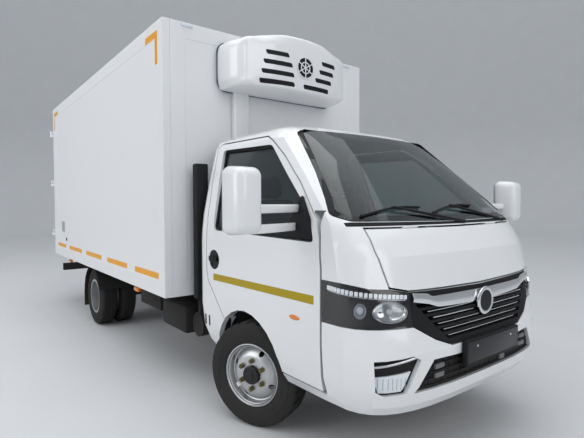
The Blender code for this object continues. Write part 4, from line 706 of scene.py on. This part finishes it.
# Mirrors: a white moulded housing with silvered glass in its back, on two flat arms that
# spring from a black base on the door's front corner.
mirror_glass = weathered("mirror_glass", (0.80, 0.82, 0.84), 0.03, metallic=1.0, uneven=0.02, grain_scale=300,
                         grain_depth=0.00001)
mirror_x, mirror_back, mirror_foot, mirror_top = 1.2355, -2.440, 1.225, 1.553
arm_high, arm_thick = 0.044, 0.036
for side, side_name in both_sides:
    body = "cab_door_" + side_name
    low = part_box("mirror_" + side_name)[0]
    middle = Vector((side * mirror_x, (low.y + mirror_back) / 2, (mirror_foot + mirror_top) / 2))
    bm = bmesh.new()
    block_between(bm, (middle.x - 0.0795, low.y, mirror_foot), (middle.x + 0.0795, mirror_back, mirror_top),
                  0.045, 6)
    for vert in bm.verts:
        ahead = (mirror_back - vert.co.y) / (mirror_back - low.y)
        vert.co.x = middle.x + (vert.co.x - middle.x) * (1 - 0.18 * ahead ** 2)
        vert.co.z = middle.z + (vert.co.z - middle.z) * (1 - 0.10 * ahead ** 2)
    housing = finished_piece("mirror_housing_" + side_name, bm, white_paint, body, None, 50)
    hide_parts("mirror_" + side_name)
    bm = bmesh.new()
    side_skin = surface_of("door_" + side_name, "door_glass_" + side_name)
    for z in (1.350, 1.252):
        start = Vector((side * 1.175, middle.y + 0.010, z))
        end = on_skin(side_skin, "X", side, -2.400, z, 0.010)
        along = end - start
        place = Matrix.Translation((start + end) / 2) @ along.to_track_quat("Y", "Z").to_matrix().to_4x4()
        turned_block(bm, place, (arm_thick, along.length, arm_high), 0.010, 3)
    finished_piece("mirror_arms_" + side_name, bm, white_paint, body)
    bm = bmesh.new()
    base_outline = ((-2.560, 1.192), (-2.536, 1.300), (-2.445, 1.418), (-2.395, 1.370), (-2.330, 1.255),
                    (-2.240, 1.200))
    face = bm.faces.new([bm.verts.new(on_skin(side_skin, "X", side, y, z, 0.003)) for y, z in base_outline])
    grown = bmesh.ops.extrude_face_region(bm, geom=[face])["geom"]
    bmesh.ops.translate(bm, vec=(side * 0.020, 0, 0),
                        verts=[item for item in grown if isinstance(item, bmesh.types.BMVert)])
    bmesh.ops.recalc_face_normals(bm, faces=bm.faces)
    finished_piece("mirror_base_" + side_name, bm, border_black, body, 0.004)
    bm = bmesh.new()
    block_between(bm, (middle.x - 0.062, mirror_back - 0.003, mirror_foot + 0.022),
                  (middle.x + 0.062, mirror_back + 0.0015, mirror_top - 0.022), 0.001)
    upright = [edge for edge in bm.edges if abs((edge.verts[0].co - edge.verts[1].co).y) > 0.002]
    bmesh.ops.bevel(bm, geom=upright, offset=0.03, segments=5, profile=0.5, affect="EDGES", material=-1)
    finished_piece("mirror_glass_" + side_name, bm, mirror_glass, body)

# Seats: woven grey cloth over foam, a squab, a back and a head cushion for each occupant.
cloth = weathered("grey_fabric", (0.10, 0.10, 0.11), 0.9, uneven=0.25, grain_scale=1500, grain_depth=0.0006)


def seat_cushion(name, low, high, crown, lean=0.0):
    """A crowned cushion with a sewn channel along its face, leant back from its foot."""
    bm = bmesh.new()
    block_between(bm, low, high, 0.035, 3)
    bmesh.ops.subdivide_edges(bm, edges=bm.edges, cuts=2, use_grid_fill=True)
    middle = [(a + b) / 2 for a, b in zip(low, high)]
    half = [(b - a) / 2 for a, b in zip(low, high)]
    for vert in bm.verts:
        share = [(vert.co[i] - middle[i]) / half[i] for i in range(3)]
        swell = (1 - share[0] ** 2) * (1 - share[2] ** 2 if half[2] > half[1] else 1 - share[1] ** 2)
        seam = math.exp(-((abs(share[0]) - 0.62) / 0.05) ** 2) * 0.5
        if half[2] > half[1]:
            vert.co.y += share[1] * (crown * swell - crown * seam)
            vert.co.y += lean * (vert.co.z - low[2])
        else:
            vert.co.z += max(0, share[2]) * (crown * swell - crown * seam)
    bmesh.ops.recalc_face_normals(bm, faces=bm.faces)
    cushion = finished_piece(name, bm, cloth, "vehicle", None, 180)
    rounding = cushion.modifiers.new("rounding", "SUBSURF")
    rounding.levels = rounding.render_levels = 1
    return cushion


for side, side_name in both_sides:
    x = side * 0.39
    squab = seat_cushion("squab_" + side_name, (x - 0.285, -2.140, 0.765), (x + 0.285, -1.60, 0.912), 0.012)
    if side > 0:
        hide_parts("seats")
    seat_cushion("backrest_" + side_name, (x - 0.24, -1.670, 0.90), (x + 0.24, -1.560, 1.405), 0.012, 0.26)
    seat_cushion("headrest_" + side_name, (x - 0.125, -1.545, 1.415), (x + 0.125, -1.470, 1.575), 0.008, 0.1)


# Tyres: radial ribs with grooves between them, notched shoulders and a raised bead line.
tyre_rubber = weathered("tyre_rubber", (0.017, 0.017, 0.018), 0.66, dust=0.55, dust_top=2.0, uneven=0.3,
                        grain_scale=500, grain_depth=0.0005, dust_colour=(0.085, 0.080, 0.074), specular=0.2)
tyre_half = [(0.1790, 0.073), (0.1945, 0.073), (0.1990, 0.0815), (0.2150, 0.0872), (0.2180, 0.0880),
             (0.2210, 0.0876), (0.2330, 0.0898), (0.2345, 0.0889), (0.2400, 0.0889), (0.2415, 0.0904),
             (0.2430, 0.0905), (0.2700, 0.0892), (0.2750, 0.0872), (0.2765, 0.0855), (0.2810, 0.0852),
             (0.2960, 0.0812), (0.3130, 0.0720), (0.3190, 0.0655), (0.3215, 0.0570), (0.3220, 0.0400),
             (0.3150, 0.0385), (0.3150, 0.0330), (0.3220, 0.0315), (0.3220, 0.0140), (0.3150, 0.0125),
             (0.3150, 0.0070), (0.3220, 0.0055)]
tyre_steps = 112


def wheel_matrix(body):
    """Turns a wheel built about the X axis at the origin into its place."""
    for joint in frame["joints"]:
        if joint["child"] == body:
            line = Vector(joint["axis"]).normalized()
            turn = Matrix.Rotation(math.atan2(line.y, line.x), 4, "Z")
            return Matrix.Translation(joint["pos_m"]) @ turn


def tyre(node_name, body, shift):
    """One tyre with its tread, standing for its CAD ring."""
    bm = bmesh.new()
    outline = tyre_half + [(radius, -across) for radius, across in reversed(tyre_half)]
    spin_line(bm, [(across, radius, 0) for radius, across in outline], (0, 0, 0), (1, 0, 0), tyre_steps)
    lugs, ribs = [], []
    for face in bm.faces:
        middle = face.calc_center_median()
        around = int((math.atan2(middle.z, middle.y) % math.tau) / math.tau * tyre_steps)
        radius = math.hypot(middle.y, middle.z)
        if radius > 0.3145 and 0.041 < abs(middle.x) < 0.072 and around % 4 == (0 if middle.x > 0 else 2):
            lugs.append(face)
        elif radius > 0.3205 and abs(middle.x) < 0.036 and around % 8 == (1 if middle.x > 0 else 5):
            ribs.append(face)
    bmesh.ops.inset_region(bm, faces=lugs, thickness=0.0012, depth=-0.0055, use_even_offset=True)
    bmesh.ops.inset_region(bm, faces=ribs, thickness=0.004, depth=-0.004, use_even_offset=True)
    bmesh.ops.transform(bm, matrix=wheel_matrix(body) @ Matrix.Translation((shift, 0, 0)), verts=bm.verts)
    piece = finished_piece(node_name + "_treaded", bm, tyre_rubber, body, None, 28)
    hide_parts(node_name)

# Wheels: pressed steel discs in silver enamel with four round hand holes, zinc-plated nuts gone
# brown, black centre caps and a small blank white tag.
def in_wheel(bm, body):
    """Moves a bmesh built about the X axis at the origin to its wheel's place."""
    bmesh.ops.transform(bm, matrix=wheel_matrix(body), verts=bm.verts)


wheel_silver = weathered("wheel_silver", (0.56, 0.57, 0.58), 0.30, metallic=0.85, dust=0.35, dust_top=0.45,
                         uneven=0.10, grain_scale=260)
nut_brass = weathered("nut_brass", (0.20, 0.17, 0.08), 0.35, metallic=0.9, dust=0.2, dust_top=0.5,
                      uneven=0.15)
cap_black = weathered("cap_black", (0.008, 0.008, 0.009), 0.18, dust=0.05, dust_top=0.5, uneven=0.15,
                      grain_scale=600, grain_depth=0.0001, specular=0.4)
tag_white = weathered("tag_white", (0.70, 0.70, 0.68), 0.5, dust=0.1, dust_top=0.5, uneven=0.05,
                      grain_scale=900, grain_depth=0.00005)
rim_line = [(0.1940, -0.0775), (0.1940, -0.0660), (0.1785, -0.0600), (0.1785, 0.0600), (0.1850, 0.0640),
            (0.1925, 0.0660), (0.1950, 0.0720), (0.1925, 0.0790), (0.1870, 0.0800), (0.1835, 0.0740),
            (0.1780, 0.0700), (0.1740, 0.0660), (0.1715, 0.0560), (0.1700, 0.0300), (0.1640, 0.0270),
            (0.1560, 0.0360), (0.1460, 0.0470), (0.1330, 0.0570), (0.1200, 0.0640), (0.1060, 0.0665),
            (0.0560, 0.0665), (0.0560, 0.0560), (0.1180, 0.0560), (0.1300, 0.0500), (0.1440, 0.0370),
            (0.1560, 0.0220), (0.1640, 0.0160), (0.1700, 0.0100), (0.1700, -0.0700), (0.1850, -0.0775)]
hole_ring, hole_radius, first_hole, twin_half = 0.143, 0.0165, 24, 0.106
tag_ring, tag_turn = 0.127, math.radians(323)
for side, side_name in both_sides:
    front, rear = "wheel_front_" + side_name, "wheel_rear_" + side_name
    tyre("tyre_front_" + side_name, front, 0.0)
    tyre("tyre_rear_" + side_name + "_outer", rear, side * twin_half)
    tyre("tyre_rear_" + side_name + "_inner", rear, side * -twin_half)
    bm = bmesh.new()
    spin_line(bm, [(side * across, radius, 0) for radius, across in rim_line], (0, 0, 0), (1, 0, 0), 72)
    in_wheel(bm, front)
    wheel = finished_piece("wheel_front_disc_" + side_name, bm, wheel_silver, front, None, 28)
    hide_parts("rim_front_" + side_name)
    bm = bmesh.new()
    for step in range(4):
        turn = math.radians(first_hole + 90 * step)
        y, z = hole_ring * math.cos(turn), hole_ring * math.sin(turn)
        bar_between(bm, (side * 0.005, y, z), (side * 0.090, y, z), hole_radius, 24)
    in_wheel(bm, front)
    hole_mesh = bpy.data.meshes.new("hand_holes")
    bm.to_mesh(hole_mesh)
    bm.free()
    hole_shape = bpy.data.objects.new("hand_holes_" + side_name, hole_mesh)
    bpy.context.scene.collection.objects.link(hole_shape)
    piercing = wheel.modifiers.new("piercing", "BOOLEAN")
    piercing.operation = "DIFFERENCE"
    piercing.solver = "EXACT"
    piercing.object = hole_shape
    bpy.context.view_layer.update()
    pierced = bpy.data.meshes.new_from_object(wheel.evaluated_get(bpy.context.evaluated_depsgraph_get()))
    wheel.modifiers.remove(piercing)
    wheel.data = pierced
    bpy.data.objects.remove(hole_shape, do_unlink=True)
    dress("rim_rear_" + side_name, rear, wheel_silver, 0.0012, 30)
    for body, face_x, ring, cap_low, cap_high, cap_radius in (
            (front, 0.0665, 0.086, -0.010, 0.022, 0.0615), (rear, 0.008, 0.075, 0.068, 0.096, 0.0565)):
        bm = bmesh.new()
        for step in range(6):
            turn = math.tau * (step + 0.5) / 6
            seat = Vector((side * (face_x - 0.002), ring * math.cos(turn), ring * math.sin(turn)))
            nut_top, stud_end = seat + Vector((side * 0.020, 0, 0)), seat + Vector((side * 0.030, 0, 0))
            bar_between(bm, seat, nut_top, 0.0170, 6)
            bar_between(bm, nut_top - Vector((side * 0.001, 0, 0)), stud_end, 0.0095, 12)
        in_wheel(bm, body)
        finished_piece("nuts_" + body, bm, nut_brass, body, 0.001)
        bm = bmesh.new()
        for from_x, to_x, radius, steps, end_radius in (
                (cap_low, cap_high, cap_radius, 40, cap_radius - 0.006),
                (cap_high - 0.002, cap_high + 0.006, 0.026, 28, 0.022)):
            bar_between(bm, (side * (face_x + from_x), 0, 0), (side * (face_x + to_x), 0, 0), radius, steps,
                        end_radius)
        in_wheel(bm, body)
        finished_piece("hub_cap_" + body, bm, cap_black, body, 0.003)
    bm = bmesh.new()
    block_between(bm, (-0.0006, -0.019, -0.013), (0.0006, 0.019, 0.013))
    place = Matrix.Translation((side * 0.0620, tag_ring * math.cos(tag_turn), tag_ring * math.sin(tag_turn)))
    bmesh.ops.transform(bm, matrix=wheel_matrix(front) @ place @ Matrix.Rotation(tag_turn, 4, "X")
                        @ Matrix.Rotation(side * math.radians(-22), 4, "Z"), verts=bm.verts)
    finished_piece("wheel_tag_" + side_name, bm, tag_white, front)

# Box: sandwich panels in white laminate between profiles, with a whisper of unevenness in the
# sheet, on cross bearers; its rear doors swing on stainless hinges with lock bars.
box_white = weathered("box_white", (0.77, 0.78, 0.79), 0.38, dust=0.10, dust_top=0.95, uneven=0.02,
                      grain_scale=6, grain_depth=0.0012, dust_colour=(0.50, 0.48, 0.45))
for node_name in ("box_floor", "box_wall_left", "box_wall_right", "box_wall_front", "box_roof",
                  "box_rear_frame"):
    dress(node_name, "vehicle", box_white, 0.002)
for side_name in ("left", "right"):
    dress("box_door_" + side_name, "rear_door_" + side_name, box_white, 0.002)
reflective = weathered("orange_reflective", (0.80, 0.36, 0.006), 0.3, uneven=0.05, grain_scale=250,
                       specular=0.25)
cells = reflective.node_tree.nodes.new("ShaderNodeTexVoronoi")
cells.inputs["Scale"].default_value = 160.0
cells.feature = "DISTANCE_TO_EDGE"
cell_relief = reflective.node_tree.nodes.new("ShaderNodeBump")
cell_relief.inputs["Distance"].default_value = 0.0004
cell_place = reflective.node_tree.nodes.new("ShaderNodeTexCoord")
reflective.node_tree.links.new(cell_place.outputs["Object"], cells.inputs["Vector"])
reflective.node_tree.links.new(cells.outputs["Distance"], cell_relief.inputs["Height"])
reflective.node_tree.links.new(cell_relief.outputs["Normal"],
                               reflective.node_tree.nodes["Principled BSDF"].inputs["Normal"])
band_face, profile_face, film_half = 1.034, 1.037, 0.0006
band_lengths = ((-1.0175, -0.4175), (-0.2075, 0.4125), (0.6225, 1.2525), (1.4625, 2.1225), (2.3225, 2.945))
for side, side_name in both_sides:
    bm = bmesh.new()
    band_in, band_out = side * band_face - film_half, side * band_face + film_half
    for start, end in band_lengths:
        block_between(bm, (band_in, start, 0.798), (band_out, end, 0.846))
    corner_in, corner_out = side * profile_face - film_half, side * profile_face + film_half
    for edge_y, into in ((-0.995, 1), (2.935, -1)):
        block_between(bm, (corner_in, edge_y, 2.635), (corner_out, edge_y + into * 0.25, 2.685))
        block_between(bm, (corner_in, edge_y, 2.435), (corner_out, edge_y + into * 0.05, 2.636))
    finished_piece("side_markings_" + side_name, bm, reflective, "vehicle")

# Small fittings of the box: white front marker lamps, amber side lamps on brackets, a blank
# plate, a round drain port and rows of rivets along the anodised profiles.
anodised = weathered("anodised", (0.66, 0.67, 0.68), 0.35, metallic=0.9, dust=0.1, dust_top=0.9, uneven=0.05,
                     grain_scale=300, grain_depth=0.0001)
bm = bmesh.new()
for x in (-0.84, 0.84):
    block_between(bm, (x - 0.05, -1.098, 2.722), (x + 0.05, -1.086, 2.748), 0.004)
finished_piece("front_markers", bm, lens_clear, "vehicle")
bm = bmesh.new()
brackets = bmesh.new()
lamp_x, bracket_x = 1.012, 1.004
for side in (1, -1):
    for y in (-0.4055, 2.1735):
        block_between(bm, (side * lamp_x - 0.014, y - 0.055, 0.622),
                      (side * lamp_x + 0.014, y + 0.055, 0.655), 0.005)
        block_between(brackets, (side * bracket_x - 0.003, y - 0.04, 0.615),
                      (side * bracket_x + 0.003, y + 0.04, 0.672), 0.001)
finished_piece("side_lamps", bm, amber_lens, "vehicle")
finished_piece("side_lamp_brackets", brackets, chassis_black, "vehicle")
bm = bmesh.new()
block_between(bm, (-1.0365, 2.37, 1.01), (-1.033, 2.55, 1.15), 0.001)
finished_piece("side_plate", bm, anodised, "vehicle")
bm = bmesh.new()
bar_between(bm, (-1.030, 2.2775, 0.918), (-1.040, 2.2775, 0.918), 0.022, 24)
finished_piece("drain_port", bm, black_plastic, "vehicle", 0.002)
bm = bmesh.new()
for side in (1, -1):
    for step in range(17):
        for z in (0.731, 2.694):
            bmesh.ops.create_uvsphere(bm, u_segments=8, v_segments=4, radius=0.005,
                                      matrix=Matrix.Translation((side * 1.0372, -1.02 + 0.245 * step, z)))
finished_piece("profile_rivets", bm, anodised, "vehicle")

# Rear door hardware: stainless lock bars in keepers, hinge straps with bolts, lever handles,
# black rubber seals round each leaf and marking tape along the edges.
stainless = weathered("stainless", (0.60, 0.60, 0.61), 0.25, metallic=1.0, dust=0.1, dust_top=0.9,
                      uneven=0.08, grain_depth=0.0001)
rear_face = 3.0425
lock_x, hinge_x, hinge_y, film_out = 0.16, 1.062, 3.0675, 0.95
for side, side_name in both_sides:
    body = "rear_door_" + side_name
    low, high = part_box("box_door_" + side_name)
    bar_x, bar_y = side * lock_x, rear_face + 0.029
    bm = bmesh.new()
    bar_between(bm, (bar_x, bar_y, low.z + 0.012), (bar_x, bar_y, high.z - 0.012), 0.0125, 20)
    for share in (0.06, 0.30, 0.55, 0.94):
        z = low.z + (high.z - low.z) * share
        for half, from_y, to_y, from_z, to_z, soften in ((0.030, -0.001, 0.006, -0.004, 0.054, 0.002),
                                                         (0.018, 0.001, 0.041, 0.008, 0.042, 0.005)):
            block_between(bm, (bar_x - half, rear_face + from_y, z + from_z),
                          (bar_x + half, rear_face + to_y, z + to_z), soften)
    lever_z = low.z + (high.z - low.z) * 0.30 + 0.12
    bar_between(bm, (bar_x, bar_y, lever_z), (bar_x + side * 0.26, bar_y - 0.004, lever_z + 0.03), 0.008, 12)
    block_between(bm, (bar_x + side * 0.27 - 0.03, rear_face - 0.001, lever_z - 0.01),
                  (bar_x + side * 0.27 + 0.03, bar_y + 0.006, lever_z + 0.06), 0.006)
    for share in (0.12, 0.5, 0.88):
        z = low.z + (high.z - low.z) * share
        block_between(bm, (side * 0.828, rear_face + 0.0125, z - 0.024),
                      (side * 1.045, rear_face + 0.0215, z + 0.024), 0.002)
        bar_between(bm, (side * hinge_x, hinge_y, z - 0.0302), (side * hinge_x, hinge_y, z + 0.0302), 0.0126,
                    20)
        for bolt_x in (0.85, 0.90, 0.945):
            bar_between(bm, (side * bolt_x, rear_face + 0.021, z), (side * bolt_x, rear_face + 0.027, z),
                        0.008, 6)
    finished_piece("door_hardware_" + side_name, bm, stainless, body, 0.001)
    bm = bmesh.new()
    for z in (low.z + 0.001, high.z - 0.011):
        block_between(bm, (side * 0.0065, rear_face - 0.02, z), (side * 0.985, rear_face + 0.003, z + 0.010),
                      0.002)
    for x in (side * 0.0115, side * 0.981):
        block_between(bm, (x - 0.005, rear_face - 0.02, low.z + 0.001),
                      (x + 0.005, rear_face + 0.003, high.z - 0.001), 0.002)
    finished_piece("door_seal_" + side_name, bm, seal_rubber, body)
    bm = bmesh.new()
    for film_in, from_z, to_z in ((0.60, 0.80, 0.85), (0.70, 2.57, 2.62), (0.90, 2.37, 2.571)):
        block_between(bm, (side * film_in, rear_face - film_half, from_z),
                      (side * film_out, rear_face + film_half, to_z))
    finished_piece("rear_markings_" + side_name, bm, reflective, body)

# Rear lamps on the underrun bar: red, amber and clear lenses side by side, and a blank plate.
# Each lens is moulded on its own and pushed into the bar's end.
red_lens = weathered("red_lens", (0.50, 0.01, 0.01), 0.15, dust=0.1, uneven=0.08, grain_scale=900,
                     grain_depth=0.0001)
for side, side_name in both_sides:
    for part_name, start, end, lens in (("red", 0.79, 0.90, red_lens), ("amber", 0.70, 0.788, amber_lens),
                                        ("clear", 0.62, 0.698, lens_clear)):
        bm = bmesh.new()
        block_between(bm, (side * start, 3.000, 0.430), (side * end, 3.028, 0.512), 0.006, 3)
        finished_piece("rear_lamp_" + part_name + "_" + side_name, bm, lens, "vehicle")
bm = bmesh.new()
block_between(bm, (-0.26, 3.001, 0.414), (0.26, 3.006, 0.526), 0.001)
finished_piece("rear_plate_blank", bm, plate_blank, "vehicle")

# Refrigeration unit: a moulded white casing on the front wall, fuller in the middle, with rounded
# air slots either side of a round grille, a dark blue rear edge and a drain duct below. The slots
# and the opening behind the grille are flat dark sheets laid on the casing: painted shade.
unit_low, unit_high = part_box("cooling_unit")
unit_low.z, unit_high.z = 2.272, 2.676
duct_low, duct_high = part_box("cooling_duct")
bm = bmesh.new()
block_between(bm, duct_low, (duct_high.x, duct_high.y, 2.290), 0.012, 4)
duct = finished_piece("cooling_duct_cover", bm, white_paint, "vehicle")
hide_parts("cooling_duct")
bm = bmesh.new()
block_between(bm, unit_low, unit_high)
bmesh.ops.subdivide_edges(bm, edges=bm.edges, cuts=6, use_grid_fill=True)
depth = unit_high.y - unit_low.y
centre_z = (unit_low.z + unit_high.z) / 2
half_high = (unit_high.z - unit_low.z) / 2
corner_pull, front_narrowing, top_crown, side_sweep = 0.22, 0.20, 0.040, 0.075
for vert in bm.verts:
    ahead = (unit_high.y - vert.co.y) / depth
    across = vert.co.x / unit_high.x
    up = (vert.co.z - centre_z) / half_high
    roundness = (abs(across) ** 7 + abs(up) ** 5) ** (1 / 6)
    squareness = max(abs(across), abs(up), 0.001)
    pull = 1 - corner_pull * max(0, roundness / squareness - 1)
    wide = 1 - front_narrowing * max(0, ahead - 0.15) ** 2.2
    vert.co.x = unit_high.x * across * pull * wide
    low_rise = 0.012 * max(0, ahead - 0.2)
    top_rise = top_crown * ahead * (1 - across ** 2) - 0.030 * abs(across) ** 3
    z = centre_z + half_high * up * pull
    vert.co.z = z + low_rise * (1 - up) / 2 + top_rise * (1 + up) / 2
    vert.co.y = unit_high.y - depth * ahead + side_sweep * ahead * abs(across) ** 3 + 0.012 * ahead * up ** 2
front_edges = [edge for edge in bm.edges if edge.calc_face_angle(0) > math.radians(45)
               and min(vert.co.y for vert in edge.verts) < unit_high.y - 0.01]
bmesh.ops.bevel(bm, geom=front_edges, offset=0.035, segments=3, profile=0.5, affect="EDGES", material=-1)
bmesh.ops.remove_doubles(bm, verts=bm.verts, dist=0.0005)
bmesh.ops.recalc_face_normals(bm, faces=bm.faces)
casing = finished_piece("cooling_casing", bm, white_paint, "vehicle", None, 60)
smoothing = casing.modifiers.new("smoothing", "SUBSURF")
smoothing.levels = smoothing.render_levels = 1
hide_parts("cooling_unit")
bpy.context.view_layer.update()
casing_tree = BVHTree.FromObject(casing, bpy.context.evaluated_depsgraph_get())
# Painted shade: one near-black finish for the insides of the air slots and the fan opening, laid on the
# casing as flat sheets.
painted_vent_shade = weathered("painted_vent_shade", (0.010, 0.011, 0.013), 0.5, uneven=0.1, grain_scale=800, specular=0.2)
bm = bmesh.new()
slot_high = 0.017
for low_x, high_x, z in ((-0.365, -0.166, 2.540), (-0.385, -0.135, 2.467), (-0.40, -0.118, 2.393),
                         (-0.41, -0.107, 2.322), (0.178, 0.340, 2.538), (0.150, 0.318, 2.466),
                         (0.105, 0.293, 2.393), (-0.015, 0.268, 2.322)):
    slot_bm = bmesh.new()
    laid_band(slot_bm, casing_tree, "Y", -1, [(low_x, z + slot_high), (high_x, z + slot_high)],
              [(low_x + 0.012, z - slot_high), (high_x + 0.012, z - slot_high)], 0.0015, 10, 2)
    corners = [vert for vert in slot_bm.verts if len(vert.link_edges) == 2]
    bmesh.ops.bevel(slot_bm, geom=corners, offset=0.012, segments=4, profile=0.5, affect="VERTICES",
                    material=-1)
    pour(bm, slot_bm)
bmesh.ops.recalc_face_normals(bm, faces=bm.faces)
bmesh.ops.solidify(bm, geom=bm.faces, thickness=0.003)
finished_piece("cooling_slots_painted_shade", bm, painted_vent_shade, "vehicle")
# The fan opening behind the guard: a flat dark disc, painted shade.
bm = bmesh.new()
hub = on_skin(casing_tree, "Y", -1, 0.0, 2.469)
bar_between(bm, hub + Vector((0, 0.02, 0)), hub - Vector((0, 0.002, 0)), 0.080, 48)
finished_piece("cooling_fan_painted_shade", bm, painted_vent_shade, "vehicle", 0.002)
bm = bmesh.new()
guard_radius, guard_wire = 0.082, 0.0045
guard_middle = hub - Vector((0, 0.004, 0))
for radius in (guard_radius, 0.044):
    ring_ahead(bm, guard_middle, radius, guard_wire, guard_wire, 8)
for turn in (30, 90, 150):
    reach = Vector((math.cos(math.radians(turn)), 0, math.sin(math.radians(turn)))) * guard_radius
    bar_between(bm, guard_middle - reach, guard_middle + reach, guard_wire, 8)
finished_piece("cooling_fan_guard", bm, white_paint, "vehicle")
edge_blue = weathered("edge_blue", (0.02, 0.035, 0.10), 0.4, uneven=0.1, grain_scale=500, grain_depth=0.0001)
bm = bmesh.new()
block_between(bm, (unit_low.x - 0.002, unit_high.y - 0.034, unit_low.z - 0.002),
              (unit_high.x + 0.002, unit_high.y - 0.026, unit_high.z - 0.016))
upright = [edge for edge in bm.edges if abs((edge.verts[0].co - edge.verts[1].co).y) > 0.001]
bmesh.ops.bevel(bm, geom=upright, offset=0.085, segments=6, profile=0.5, affect="EDGES", material=-1)
finished_piece("cooling_edge", bm, edge_blue, "vehicle")
